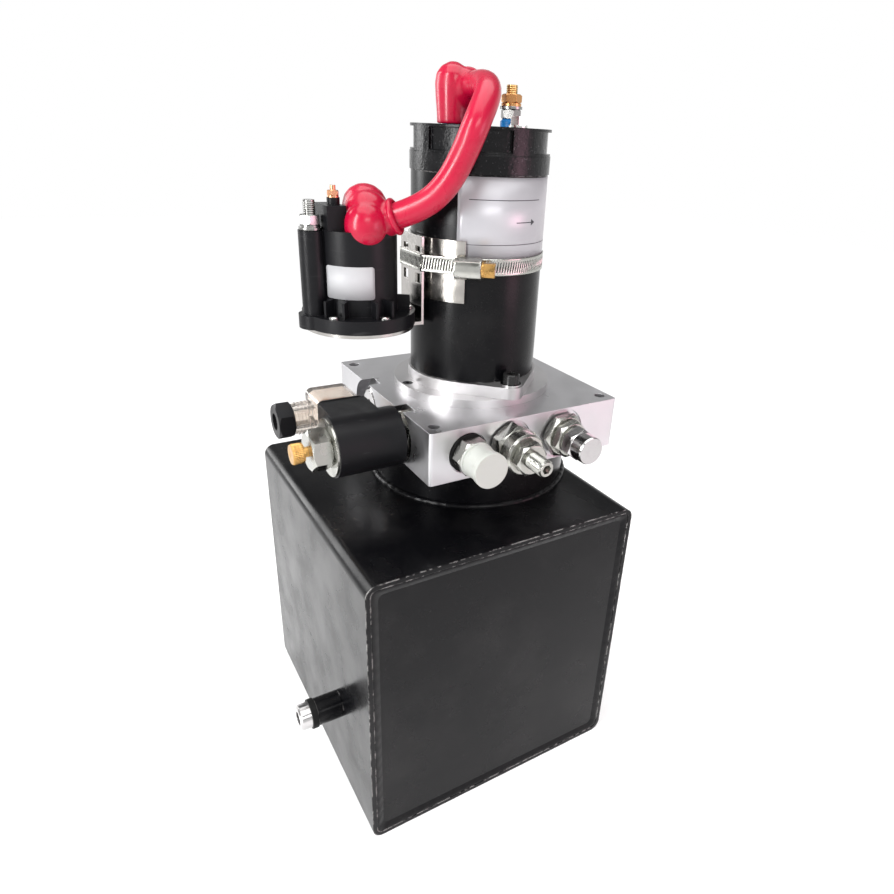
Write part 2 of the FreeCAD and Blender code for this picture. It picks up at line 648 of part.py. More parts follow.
def cap_panel(middle):
    # a shallow recess in the cap's side, between two of its bolt towers
    outer = number("cap_radius")
    start = number("cap_collar") + number("panel_sill")
    tall = number("cap_tall") - start - number("panel_rim")
    half = number("panel_span") / 2
    item = doc.addObject("Part::Feature", "panel")
    shape = ring_sector(outer - number("panel_deep"), outer + 5, tall, middle - half, middle + half)
    shape.translate(FreeCAD.Vector(0, 0, start))
    item.Shape = shape
    return item


def make_motor_cap():
    collar = rod("@cap_radius", "@cap_collar")
    crown = rod("@cap_radius - 0.3", "@cap_tall - @cap_collar", "@cap_collar")
    room = rod("@motor_radius - @motor_wall - 1", "@cap_tall - @roof_thick")
    count = int(number("panel_count"))
    panels = [cap_panel(number("panel_turn") + 360.0 * index / count) for index in range(count)]
    hollow = cut(fuse([collar, crown]), [room] + panels)
    boss = rod("@top_bearing_radius + 2.5", "@cap_tall - 4", 4)
    tools = [rod("@top_bearing_radius + @bearing_fit", "@cap_tall - 5.5")]
    for side in (-1, 1):
        across, along = stud_place(side)
        tools.append(rod("@stud_radius + @thread_fit", "@cap_tall", 1, across, along))
        across, along = tie_place(side)
        tools.append(rod("@tie_radius + @thread_fit", "@cap_tall", 1, across, along))
    on_axis(cut(fuse([hollow, boss]), tools), "motor_end_cap", "@tube_top")


def drilled_nut(flats, tall, z, x, y, turn):
    bore = rod("@stud_radius + @close_fit", tall, z, x, y)
    return cut(hex_nut(flats, tall, z, x, y, turn), [bore])


def make_motor_terminals():
    bases = []
    studs = []
    nuts = []
    lower = "@insulator_tall + @insulator_cone"
    wide = lower + " + @nut_tall"
    lock = wide + " + @wide_washer_thick"
    upper = lock + " + @lock_washer_thick"
    bore = "@stud_radius + @close_fit"
    for side in (-1, 1):
        across, along = stud_place(side)
        bases.append(cut(
            fuse([
                rod("@insulator_radius", "@insulator_tall", 0, across, along),
                taper(
                    "@insulator_radius", "@insulator_top", "@insulator_cone", "@insulator_tall",
                    across, along,
                ),
            ]),
            [rod("@stud_radius + @thread_fit", 5, 0, across, along)],
        ))
        studs.append(fuse([
            rod(
                "@shank_radius", "@stud_tall + @stud_below - @stud_free", "0 - @stud_below",
                across, along,
            ),
            rod("@stud_radius", "@stud_free", "@stud_tall - @stud_free", across, along),
            rod("@stud_flange", "@stud_flange_thick", "0 - @cap_tall + 12.6", across, along),
        ]))
        nuts += [
            drilled_nut("@nut_flats", "@nut_tall", lower, across, along, 12),
            tube("@wide_washer", bore, "@wide_washer_thick", wide, across, along),
            tube("@lock_washer", bore, "@lock_washer_thick", lock, across, along),
            drilled_nut("@nut_flats", "@upper_nut_tall", upper, across, along, 25),
        ]
    on_axis(group(bases), "terminal_insulators", "@cap_top")
    on_axis(group(studs), "terminal_studs", "@cap_top")
    on_axis(group(nuts), "terminal_nuts", "@cap_top")


def ring_sector(inner, outer, tall, start, stop):
    # a slice of a tube between two angles, in degrees about the motor's axis
    def at(radius, angle):
        turn = math.radians(angle)
        return FreeCAD.Vector(radius * math.cos(turn), radius * math.sin(turn), 0)

    middle = (start + stop) / 2
    far = Part.Arc(at(outer, start), at(outer, middle), at(outer, stop)).toShape()
    near = Part.Arc(at(inner, stop), at(inner, middle), at(inner, start)).toShape()
    first = Part.makeLine(at(inner, start), at(outer, start))
    last = Part.makeLine(at(outer, stop), at(inner, stop))
    wire = Part.Wire(Part.__sortEdges__([first, far, last, near]))
    return Part.Face(wire).extrude(FreeCAD.Vector(0, 0, tall))


def make_plates():
    # two bare name plates: thin curved sheets on the motor tube and the contactor case
    axis = FreeCAD.Vector(number("axis_across"), number("axis_back"), 331)
    skin = number("motor_radius")
    plate = ring_sector(skin + 0.02, skin + 0.12, 47, -137, -8)
    plate.translate(axis)
    keep_shape(plate, "name_plates")
    case = number("case_radius")
    tag = ring_sector(case + 0.03, case + 0.25, 17.5, -160, -88)
    tag.translate(FreeCAD.Vector(number("contactor_across"), number("axis_back"), 314))
    keep_shape(tag, "name_plates")


# ---------------------------------------------------------------- pump


def gear_face(teeth, module, phase):
    # full-depth involute teeth at 20 degrees, thinned for backlash
    pitch = module * teeth / 2
    base = pitch * math.cos(math.radians(20))
    tip = pitch + module - 0.05
    root = pitch - 1.25 * module
    thin = 0.06 / pitch
    involute = math.tan(math.radians(20)) - math.radians(20)
    half = math.pi / (2 * teeth) + involute - thin
    edges = []

    def at(radius, angle):
        return FreeCAD.Vector(radius * math.cos(angle), radius * math.sin(angle), 0)

    def flank(centre, hand):
        points = [at(root, centre - hand * half)]
        for step in range(6):
            radius = base + (tip - base) * step / 5
            roll = math.acos(base / radius)
            points.append(at(radius, centre - hand * (half - (math.tan(roll) - roll))))
        return points

    outline = []
    for tooth in range(teeth):
        centre = phase + 2 * math.pi * tooth / teeth
        outline.append((flank(centre, 1), flank(centre, -1)[::-1]))
    for index, (rise, fall) in enumerate(outline):
        following = outline[(index + 1) % teeth][0]
        edges.append(Part.makeLine(rise[0], rise[1]))
        curve = Part.BSplineCurve()
        curve.interpolate(rise[1:])
        edges.append(curve.toShape())
        edges.append(Part.makeLine(rise[-1], fall[0]))
        back = Part.BSplineCurve()
        back.interpolate(fall[:-1])
        edges.append(back.toShape())
        edges.append(Part.makeLine(fall[-2], fall[-1]))
        edges.append(Part.makeLine(fall[-1], following[0]))
    wire = Part.Wire(edges)
    return Part.Face(wire)


def make_gears():
    teeth = int(number("gear_teeth"))
    module = number("gear_module")
    wide = number("gear_wide") - 2 * number("gear_side_gap")
    low = number("cover_top") + number("gear_side_gap")
    shaft = number("shaft_radius")
    foot = number("pump_base") + 3
    across = number("axis_across")
    half_tooth = math.pi / teeth
    join = number("ring_top") - 22
    near = number("axis_back")
    far = near + number("gear_spacing")
    for label, back, phase, top in (
        ("drive_gear", near, math.pi / 2, join),
        ("driven_gear", far, half_tooth - math.pi / 2, number("spigot_base") - 2),
    ):
        blank = gear_face(teeth, module, phase).extrude(FreeCAD.Vector(0, 0, wide))
        blank.translate(FreeCAD.Vector(across, back, low))
        spindle = Part.makeCylinder(shaft, top - foot, FreeCAD.Vector(across, back, foot))
        keep_shape(blank.fuse(spindle).removeSplitter(), label)


def pump_holes(radius, tall, low):
    holes = []
    for side in (-1, 1):
        for end in (-1, 1):
            holes.append(rod(
                radius, tall, low, "%d * @pump_screw_across" % side,
                "%d * @pump_screw_along" % end,
            ))
    return holes


def at_pump(item, label, high):
    return keep(item, label, "@axis_across", "@pump_y", high)


def make_pump():
    bores = "@shaft_radius + 0.03"
    half = "@gear_spacing / 2"
    front = pad("@pump_wide", "@pump_deep", 8, "@pump_front_thick")
    front_tools = pump_holes("@pump_screw_radius + @thread_fit", "@pump_front_thick", 0)
    front_tools.append(rod(bores, "@pump_front_thick", 0, 0, "0 - " + half))
    front_tools.append(rod(bores, "@pump_front_thick - 1.5", 0, 0, half))
    at_pump(cut(front, front_tools), "pump_front", "@gear_top")
    body = pad("@pump_wide", "@pump_deep", 8, "@gear_wide")
    body_tools = pump_holes("@pump_screw_radius + @thread_fit", "@gear_wide", 0)
    for end in (-1, 1):
        body_tools.append(rod("@gear_tip + @gear_tip_gap", "@gear_wide", 0, 0, "%d * %s" % (end, half)))
    for side in (-1, 1):
        body_tools.append(bar(16, 8, "@gear_wide", "%d * 9" % side, 0))
    at_pump(cut(body, body_tools), "pump_body", "@cover_top")
    cover = pad("@pump_wide", "@pump_deep", 8, "@cover_thick")
    cover_tools = pump_holes("@pump_screw_radius + @thread_fit", "@cover_thick", 0)
    for end in (-1, 1):
        cover_tools.append(rod(bores, "@cover_thick - 2.5", 2.5, 0, "%d * %s" % (end, half)))
    cover_tools.append(rod("@suction_radius + @thread_fit", 6, 0, "@suction_across", 0))
    cover_tools.append(rod(4, "@cover_thick", 0, "@suction_across", 0))
    at_pump(cut(cover, cover_tools), "pump_cover", "@pump_base")
    screws = []
    stack = "@pump_front_thick + @gear_wide + @cover_thick + @pump_tap_deep - 1"
    for side in (-1, 1):
        for end in (-1, 1):
            across = "%d * @pump_screw_across" % side
            along = "%d * @pump_screw_along" % end
            shank = rod("@pump_screw_radius", stack, 0, across, along)
            head = rod("@bolt_head_radius", 6, "0 - 6", across, along)
            socket = hexagon("@bolt_socket", 3, "0 - 6", across, along)
            screws.append(cut(fuse([shank, head]), [socket]))
    at_pump(group(screws), "block_screws", "@pump_base")


def make_pipes():
    top = "@pump_base + 6"
    start = "@strainer_high + @strainer_tall - 4"
    pipe = tube(
        "@suction_radius", "@suction_radius - @suction_wall", "%s - (%s)" % (top, start),
    )
    across = "@axis_across + @suction_across"
    keep(pipe, "pump_pipes", across, "@pump_y", start)
    tools = [
        rod("@strainer_radius - 1.5", "@strainer_tall - 6", 3),
        rod("@suction_radius + @thread_fit", 6, "@strainer_tall - 4"),
    ]
    for level in (1, 2, 3):
        for angle in (0, 30, 60, 90, 120, 150):
            tools.append(bar("3 * @strainer_radius", 3, 5, 0, 0, "%d * 8 - 2" % level, angle))
    cage = cut(rod("@strainer_radius", "@strainer_tall"), tools)
    keep(cage, "suction_strainer", across, "@pump_y", "@strainer_high")
    long = "@spigot_base + @return_tap_deep - @return_high"
    back = tube("@return_radius", "@return_radius - @return_wall", long)
    keep(
        back, "pump_pipes", "@axis_across + @return_across", "@axis_back + @return_along",
        "@return_high",
    )


# ---------------------------------------------------------------- front fittings


def on_front(item, label, across):
    return keep(item, label, across, "@spot_floor", "@block_mid", "front")


def make_port_fitting():
    seal = tube("@port_seal", "@port_radius + 0.1", "@port_seal_thick")
    on_front(seal, "seal_rings", "@port_across")
    hexed = "@port_seal_thick + @port_hex"
    body = fuse([
        rod("@port_radius", "20 + @port_seal_thick", "0 - 20"),
        hex_nut("@port_flats", "@port_hex", "@port_seal_thick"),
        rod("@port_radius + 0.6", 3, hexed), rod("@port_radius - 0.4", 11, hexed + " + 3"),
    ])
    way = rod("@port_way", 45, "0 - 20.5")
    on_front(cut(body, [way]), "port_fitting", "@port_across")
    rim = hexed + " + 0.5"
    shell = fuse([
        rod("@port_radius + 2.6", 1.5, rim),
        taper("@port_radius + 2", "@port_radius + 1.6", 11.3, rim + " + 1.5"),
        rod("@port_radius + 2.45", 3, rim + " + 12.8"),
    ])
    room = [rod("@port_radius + 0.7", 2.5, rim), rod("@port_radius - 0.3", 11.2, rim + " + 2.5")]
    on_front(cut(shell, room), "port_cap", "@port_across")


def make_flow_valve():
    neck = "1 + @flow_hex"
    body = fuse([
        rod("@flow_radius", 31, "0 - 30"), hex_nut("@flow_flats", "@flow_hex", 1, turn=30),
        rod("@flow_neck", 7.5, neck), taper("@flow_neck", "@flow_neck - 1.2", 1, neck + " + 7.5"),
    ])
    bore = rod("@flow_stem + 0.1", 51, "0 - 30.5")
    on_front(cut(body, [bore]), "flow_valve_body", "@flow_across")
    nut = cut(
        hex_nut("@flow_nut", "@flow_nut_long", neck + " + 8.6", turn=8),
        [rod("@flow_stem + 0.07", "@flow_nut_long + 0.5", neck + " + 8.5")],
    )
    on_front(nut, "lock_nuts", "@flow_across")
    stem = cut(
        fuse([
            rod("@flow_stem", 58, "0 - 20"), taper("@flow_stem", "@flow_stem - 0.65", 1, 38),
            taper(2.5, "@flow_stem", 4, "0 - 24"),
        ]),
        [hexagon("@flow_socket", 6, 33.5)],
    )
    on_front(stem, "flow_screw", "@flow_across")


def make_relief_valve():
    neck = "1 + @relief_hex"
    body = fuse([
        rod("@relief_radius", 31, "0 - 30"), hex_nut("@relief_flats", "@relief_hex", 1),
        rod("@relief_neck", 7, neck),
    ])
    bore = rod("@poppet_radius + @poppet_fit", 45, "0 - 30.5")
    on_front(cut(body, [bore]), "relief_body", "@relief_across")
    nut = cut(
        hex_nut("@relief_nut", 6, neck + " + 0.2", turn=14), [rod("@relief_neck + @thread_fit", 7, neck)],
    )
    on_front(nut, "lock_nuts", "@relief_across")
    cap = fuse([
        hex_nut("@relief_cap_flats", 8, neck + " + 7.1", turn=20),
        rod("@relief_neck", 8.2, neck + " + 15"),
        taper("@relief_neck", "@relief_neck - 0.5", 0.9, neck + " + 23.2"), rod(6, 10, 5),
    ])
    on_front(cap, "relief_cap", "@relief_across")
    poppet = fuse([taper(2, "@poppet_radius", 6, "0 - 29"), rod("@poppet_radius", 8, "0 - 23")])
    on_front(poppet, "relief_poppet", "@relief_across")
    tall = number("spring_long")
    spring = coil_spring(number("spring_radius"), number("spring_wire"), number("spring_pitch"), tall)
    spring.rotate(FreeCAD.Vector(0, 0, 0), FreeCAD.Vector(1, 0, 0), 90)
    start = number("spot_floor") + 14.8
    spring.translate(FreeCAD.Vector(number("relief_across"), start, number("block_mid")))
    keep_shape(spring, "relief_spring")


def coil_spring(radius, wire, pitch, tall):
    path = Part.makeHelix(pitch, tall - 2 * wire, radius)
    ring = Part.Wire(Part.makeCircle(wire, FreeCAD.Vector(radius, 0, 0), FreeCAD.Vector(0, 1, 0)))
    shape = Part.Wire(path).makePipeShell([ring], True, True)
    shape.translate(FreeCAD.Vector(0, 0, wire))
    return shape


# ---------------------------------------------------------------- solenoid valve


def on_left(item, label, out):
    return keep(item, label, "@block_face_left - (%s)" % out, "@valve_side", "@block_mid", "left")


def connector_centre():
    mid_x = "@block_face_left - @coil_off - 9 - 14.5"
    near = "@valve_side + @coil_back"
    mid_z = "@block_mid + @coil_radius - @housing_tall / 2"
    return mid_x, near, mid_z


def make_valve():
    mid_x, near, mid_z = connector_centre()
    seat = "0 - @pocket_deep"
    body = fuse([
        rod("@tube_radius", "@valve_bore_deep - 2", "%s - @valve_bore_deep + 2" % seat),
        hex_nut("@valve_flats", "@valve_hex_long", seat), rod(11, 2, 0.5),
    ])
    stem = rod("@tube_radius", "53 - 2.5", 2.5)
    bore = rod("@plunger_radius + @thread_fit", 81, "%s - @valve_bore_deep + 1.5" % seat)
    pin_hole = rod("@knob_stem + @thread_fit", 10, 45)
    on_left(cut(fuse([body, stem]), [bore, pin_hole]), "valve_body", 0)
    on_left(rod("@plunger_radius", "@plunger_long", 21), "valve_plunger", 0)
    case = rod("@coil_radius", "@coil_long")
    lug = bar("@coil_radius", "@coil_back", 29, "@coil_radius / 2", "@coil_back / 2", 9)
    lower = bar(12, "@coil_back - 2", 29, "0 - 5", "@coil_back / 2 - 1", 9)
    shell = cut(fuse([case, lug, lower]), [rod("@tube_radius + 0.1", "@coil_long")])
    place(shell, "@block_face_left - @coil_off", "@valve_side", "@block_mid", "left")
    threads = rod("@screw_radius + @thread_fit", 6, mid_z, mid_x, near + " - 5", "back")
    keep(cut(shell, [threads]), "solenoid_coil")
    washer = tube("@coil_washer", "@tube_radius + 0.1", "@coil_washer_thick")
    on_left(washer, "coil_nut", "@coil_off + @coil_long")
    nut = cut(
        hex_nut("@coil_nut_flats", "@coil_nut_long", 0, turn=10),
        [rod("@tube_radius + @thread_fit", 8.8), rod("@knob_stem + @thread_fit", 12)],
    )
    on_left(nut, "coil_nut", "@coil_end")
    reach = "13.3"
    knob = cut(
        fuse([
            rod("@knob_radius", "@knob_long - 1"),
            taper("@knob_radius", "@knob_radius - 0.8", 1, "@knob_long - 1"),
            rod("@knob_stem", reach, "0 - " + reach),
        ]),
        [place(rod(1.1, 14), 0, "0 - 7", 2.2, "back")],
    )
    on_left(knob, "override_knob", "@coil_end + @coil_nut_long + @knob_gap")


def make_plug():
    long = "@plug_bore_deep - 2"
    body = fuse([
        rod("@plug_radius", long, "0 - (%s)" % long), hex_nut("@plug_flats", "@plug_head", 0, turn=12),
        rod(9.5, 0.8, "@plug_head"),
    ])
    plug = cut(body, [hexagon("@plug_socket", 4, "@plug_head - 3.2")])
    keep(plug, "hex_plugs", "@valve_floor", "@plug_side", "@block_mid", "left")


def make_connector():
    # a square housing behind the coil's terminal lug, its cable gland pointing left
    mid_x, near, mid_z = connector_centre()
    left = "@block_face_left - @coil_off - 9 - 28"
    seal = cut(
        pad("@housing_wide + 1.2", "@housing_tall + 0.6", 3, "@gasket_thick"),
        [rod("@screw_radius + 0.1", 2)],
    )
    keep(seal, "connector_gasket", mid_x, near, mid_z, "back")
    box = pad("@housing_wide", "@housing_tall", 4, "@housing_deep")
    room = pad(
        "@housing_wide - 2 * @housing_wall", "@housing_tall - 2 * @housing_wall", 2.5,
        "@housing_deep - 2 * @housing_wall",
    )
    tools = [
        place(rod(6.6, 30), 0, 0, "@housing_deep / 2", "left"),
        rod("@screw_radius + 0.1", "@housing_deep + 2", 0), room,
    ]
    shell = cut(box, tools)
    face = near + " + @gasket_thick"
    place(shell, mid_x, face, mid_z, "back")
    gland_y = face + " + @housing_deep / 2"
    ribs = [rod("@spout_radius", "@spout_long + 1", "0 - 1")]
    for index in range(5):
        ribs.append(rod("@spout_rib", 1.1, "1.2 + %d * 2.2" % index))
    spout = cut(fuse(ribs), [rod("@entry_bore", 20, "0 - 2")])
    place(spout, left, gland_y, mid_z, "left")
    keep(fuse([shell, spout]), "connector_housing")
    core = cut(pad("@core_wide", "@core_wide", 2, "@core_deep"), [rod("@screw_radius + 0.2", 12)])
    keep(core, "connector_core", mid_x, face + " + 0.1", mid_z, "back")
    below = "1.4 + 2"
    screw = fuse([
        rod("@screw_radius", "@housing_deep + @gasket_thick + 0.1 + " + below, "0 - (%s)" % below),
        rod(3.4, 2.2, "@housing_deep + @gasket_thick + 0.1"),
    ])
    keep(screw, "connector_core", mid_x, near, mid_z, "back")
    nut = cut(hex_nut("@gland_flats", "@gland_long", 0), [rod("@gland_bore", 12), rod(8.4, 4, 0)])
    keep(nut, "gland_nut", "%s - @spout_long" % left, gland_y, mid_z, "left")


# ---------------------------------------------------------------- contactor


def at_contactor(item, label, high):
    return keep(item, label, "@contactor_across", "@axis_back", high)


def make_contactor_base():
    disc = rod("@base_radius", "@base_thick")
    reach = "@leg_face + @leg_thick - @contactor_across"
    tab = bar(reach, "@leg_wide", "@base_thick", "(%s) / 2" % reach, 0, 0)
    leg = bar(
        "@leg_thick", "@leg_wide", "@leg_top - @contactor_high",
        "@leg_face - @contactor_across + @leg_thick / 2", 0, 0,
    )
    windows = []
    for side, mid in ((-1, -8.5), (1, 7)):
        for low, tall in ((318.7, 5.5), (336.3, 3)):
            high = "%s - @contactor_high" % low
            windows.append(bar(8, 6, tall, "@leg_face - @contactor_across", mid, high))
    at_contactor(cut(fuse([disc, tab, leg]), windows), "contactor_base", "@contactor_high")


def make_contactor_case():
    left = "@left_stud - @contactor_across"
    right = "@right_stud - @contactor_across"
    back = "@contactor_stud_back - @axis_back"
    lid = "@case_tall + @rim_thick"
    rim = rod("@rim_radius", "@rim_thick")
    case = rod("@case_radius", lid)
    column = rod("@post_radius", lid + " - 0.3", 0, left, back)
    ear = rod("@post_radius + 2.5", "@rim_thick", 0, left, back)
    link = bar("0 - (%s)" % left, 8, lid + " - 1", "(%s) / 2" % left, back)
    barrier = bar(
        "@barrier_wide", "@barrier_deep", "@barrier_tall", "@barrier_across", "@barrier_along", lid,
    )
    signal = ("@signal_across", "@signal_along")
    post = rod("@signal_post", "@signal_post_tall", lid + " + @barrier_tall", *signal)
    ribs = []
    for angle in (-150, -128, -92, -72, -30, 30, 72, 92, 128, 150):
        across, along = around("@case_radius + 3", angle)
        ribs.append(bar(8, 1.4, "@rim_thick + 9", across, along, 0, angle))
    body = fuse([rim, case, column, ear, link, barrier, post] + ribs)
    hole = "@stud_radius + @thread_fit"
    tools = [
        rod("@case_radius - @case_wall", lid + " - 10"),
        rod(hole, 60, 6, left, back),
        rod(hole, 60, "@case_tall - 2.2", right, back),
        rod("@signal_radius + 0.1", 12, lid + " + 6", *signal),
        bar(6.5, 13, 14, "@case_radius + @rim_radius / 2 + 4", 0, "@rim_thick"),
    ]
    tools += rivet_rods("@rivet_radius + @rivet_fit")
    at_contactor(cut(body, tools), "contactor_case", "@rim_base")


def rivet_places():
    return [around("@rim_radius - @rivet_inset", angle) for angle in (-140, -82, -20, 40, 100, 160)]


def rivet_rods(radius):
    rods = []
    for across, along in rivet_places():
        rods.append(rod(radius, "@rim_thick", 0, across, along))
    return rods


def make_contactor_inside():
    rivets = []
    for shank, (across, along) in zip(rivet_rods("@rivet_radius"), rivet_places()):
        head = rod("@rivet_head", 0.7, "@rim_thick", across, along)
        crown = taper("@rivet_head", "@rivet_head - 0.8", 0.6, "@rim_thick + 0.7", across, along)
        rivets.append(fuse([shank, head, crown]))
    at_contactor(group(rivets), "contactor_rivets", "@rim_base")
    coil = tube("@case_radius - @case_wall - 0.3", "@core_radius + 0.2", "@contactor_coil_tall")
    at_contactor(coil, "contactor_coil", "@rim_base")
    core = fuse([rod("@core_radius", 30, 1.2), rod(2, 6.5, 31)])
    bridge = pad(30, 9, 2, 2, "@bridge_high")
    at_contactor(fuse([core, bridge]), "contactor_plunger", "@rim_base")


def make_contactor_terminals():
    back = "@contactor_stud_back - @axis_back"
    bore = "@stud_radius + @close_fit"
    thick = "@supply_washer_thick"
    studs = []
    nuts = []
    for name in ("left", "right"):
        across = "@%s_stud - @contactor_across" % name
        bare = "@supply_tall - @supply_free"
        studs.append(fuse([
            rod("@shank_radius", "@supply_below + " + bare, "0 - @supply_below", across, back),
            rod("@stud_radius", "@supply_free", bare, across, back),
        ]))
        nuts += [
            tube("@supply_washer", bore, thick, 0.1, across, back),
            tube("@supply_lock", bore, thick, "0.1 + " + thick, across, back),
            drilled_nut("@nut_flats", "@nut_tall", "0.1 + 2 * " + thick, across, back, 12),
        ]
    signal = ("@signal_across", "@signal_along")
    seat = "@barrier_tall + @signal_post_tall"
    small = fuse([
        rod("@signal_radius", 14, 8, *signal), rod(3, 1, seat, *signal),
        hex_nut(5.5, 2.6, seat + " + 1", *signal),
    ])
    at_contactor(group(studs), "terminal_studs", "@case_top")
    at_contactor(group(nuts), "terminal_nuts", "@case_top")
    at_contactor(small, "terminal_studs", "@case_top")


def make_saddle():
    half = number("saddle_half_turn")
    inner = number("motor_radius") + 0.15
    thick = number("saddle_thick")
    low = number("saddle_low")
    tall = number("saddle_high") - low
    sheet_arc = ring_sector(inner, inner + thick, tall, 180 - half, 180 + half)
    sheet_arc.translate(FreeCAD.Vector(number("axis_across"), number("axis_back"), low))
    keep_shape(sheet_arc, "motor_saddle")


def band_wire(grow):
    # the band's line round motor, saddle and contactor leg: arcs joined by straight tangents
    bare = number("motor_radius") + 0.15 + grow
    over = number("motor_radius") + 0.15 + number("saddle_thick") + number("skin_gap") + grow
    stand = number("axis_across") - number("leg_face") + number("skin_gap") + grow
    half_leg = number("leg_wide") / 2 + number("skin_gap")
    end_turn = math.radians(180 - number("saddle_half_turn"))
    corner = FreeCAD.Vector(-stand, half_leg, 0)
    corner_turn = math.atan2(half_leg, -stand)
    leave = corner_turn - math.acos(over / corner.Length)
    start = end_turn - math.acos(bare / over)
    between = (end_turn + leave) / 2

    def at(radius, angle):
        return FreeCAD.Vector(radius * math.cos(angle), radius * math.sin(angle), 0)

    def mirror(point):
        return FreeCAD.Vector(point.x, -point.y, 0)

    edges = [
        Part.Arc(at(bare, -start), at(bare, 0), at(bare, start)).toShape(),
        Part.makeLine(at(bare, start), at(over, end_turn)),
        Part.Arc(at(over, end_turn), at(over, between), at(over, leave)).toShape(),
        Part.makeLine(at(over, leave), corner),
        Part.makeLine(corner, mirror(corner)),
        Part.makeLine(mirror(corner), at(over, -leave)),
        Part.Arc(at(over, -leave), at(over, -between), at(over, -end_turn)).toShape(),
        Part.makeLine(at(over, -end_turn), at(bare, -start)),
    ]
    return Part.Wire(edges)


def make_band():
    tall = FreeCAD.Vector(0, 0, number("band_tall"))
    outer = Part.Face(band_wire(number("band_thick"))).extrude(tall)
    inner = Part.Face(band_wire(0)).extrude(tall)
    band = outer.cut(inner)
    band.translate(FreeCAD.Vector(number("axis_across"), number("axis_back"), number("band_low")))
    keep_shape(band, "clamp_band")


def make_band_screw():
    # the worm housing lies along the band, 125 degrees round to the front left
    lean = -126
    stack = number("saddle_thick") + number("skin_gap") + number("band_thick")
    radius = number("motor_radius") + 0.15 + stack + 0.1
    high = number("band_low") + number("band_tall") / 2
    body = Part.makeBox(15, 9, 12, FreeCAD.Vector(-7.5, -4.5, -6))
    upright = [edge for edge in body.Edges if abs(edge.Vertexes[0].Z - edge.Vertexes[-1].Z) < 0.01]
    along = [edge for edge in upright if abs(edge.Vertexes[0].X - edge.Vertexes[-1].X) > 1]
    body = body.makeFillet(2, along)
    tunnel = Part.makeCylinder(3.6, 40, FreeCAD.Vector(-6, 0, 0), FreeCAD.Vector(1, 0, 0))
    body = body.cut(tunnel)
    worm = Part.makeCylinder(3.4, 20, FreeCAD.Vector(-5.5, 0, 0), FreeCAD.Vector(1, 0, 0))
    collar = Part.makeCylinder(4.6, 1, FreeCAD.Vector(7.8, 0, 0), FreeCAD.Vector(1, 0, 0))
    corners = []
    for index in range(7):
        turn = math.radians(60 * index)
        corners.append(FreeCAD.Vector(8.8, 4.3 * math.cos(turn), 4.3 * math.sin(turn)))
    head = Part.Face(Part.makePolygon(corners)).extrude(FreeCAD.Vector(6.2, 0, 0))
    slot = Part.makeBox(2, 1, 12, FreeCAD.Vector(13.4, -0.5, -6))
    screw = worm.fuse([collar, head]).removeSplitter().cut(slot)
    for shape, label in ((body, "clamp_band"), (screw, "clamp_screw")):
        shape.translate(FreeCAD.Vector(0, -radius - 4.6, 0))
        shape.rotate(FreeCAD.Vector(0, 0, 0), FreeCAD.Vector(0, 0, 1), lean + 90)
        shape.translate(FreeCAD.Vector(number("axis_across"), number("axis_back"), high))
        keep_shape(shape, label)


# ---------------------------------------------------------------- boots and jumper lead

LEAD_RADIUS = 7
LEAD_ROUTE = (
    (21.5, 10.5, 422), (19.5, -6, 423.5), (11.5, -27.5, 419), (-1.5, -37, 403),
    (-5, -31, 388), (-11, -25.5, 373.5), (-20.5, -17, 362), (-31.5, -8, 356.8),
)


def round_path(points):
    # straight runs joined by tangent arcs
    vectors = [FreeCAD.Vector(*point) for point in points]
    edges = []
    start = vectors[0]
    for before, corner, after in zip(vectors, vectors[1:], vectors[2:]):
        arrive = corner - before
        leave = after - corner
        turn = arrive.getAngle(leave)
        setback = 0.45 * min(arrive.Length, leave.Length)
        radius = setback / math.tan(turn / 2)
        print("lead bend %.1f mm" % radius)
        arrive.normalize()
        leave.normalize()
        first = corner - arrive * setback
        last = corner + leave * setback
        inward = leave - arrive
        inward.normalize()
        middle = corner + inward * (radius / math.cos(turn / 2) - radius)
        edges.append(Part.LineSegment(start, first).toShape())
        edges.append(Part.Arc(first, middle, last).toShape())
        start = last
    edges.append(Part.LineSegment(start, vectors[-1]).toShape())
    return Part.Wire(edges)


def make_lead():
    path = round_path(LEAD_ROUTE)
    start = FreeCAD.Vector(*LEAD_ROUTE[0])
    aim = FreeCAD.Vector(*LEAD_ROUTE[1]) - start
    ring = Part.Wire(Part.makeCircle(LEAD_RADIUS, start, aim))
    keep_shape(path.makePipeShell([ring], True, False), "jumper_lead")


def boot_cuff(tip, beyond, length):
    # a sleeve that ends square at the lead's end, in line with the lead's last run
    end = FreeCAD.Vector(*tip)
    aim = FreeCAD.Vector(*beyond) - end
    aim.normalize()
    return Part.makeCylinder(LEAD_RADIUS + number("cuff_wall"), length, end - aim * length, aim)


def make_boot(foot, name, cavity_tall, first, second):
    # a cap over the terminal with a cuff that grips the lead
    radius = number(name)
    dome_at = foot + FreeCAD.Vector(0, 0, number(name + "_tall"))
    shroud = Part.makeCylinder(radius, number(name + "_tall"), foot)
    dome = Part.makeSphere(radius, dome_at)
    cavity = Part.makeCylinder(number(name + "_room"), cavity_tall, foot - FreeCAD.Vector(0, 0, 1))
    cuff = boot_cuff(first, second, number(name.replace("boot", "cuff")))
    below = Part.makeBox(80, 80, 40, foot - FreeCAD.Vector(40, 40, 40))
    lead = pieces["jumper_lead"][0].Shape
    boot = shroud.fuse([dome, cuff]).cut(cavity).cut(below).cut(lead)
    keep_shape(boot.removeSplitter(), "cable_boots")


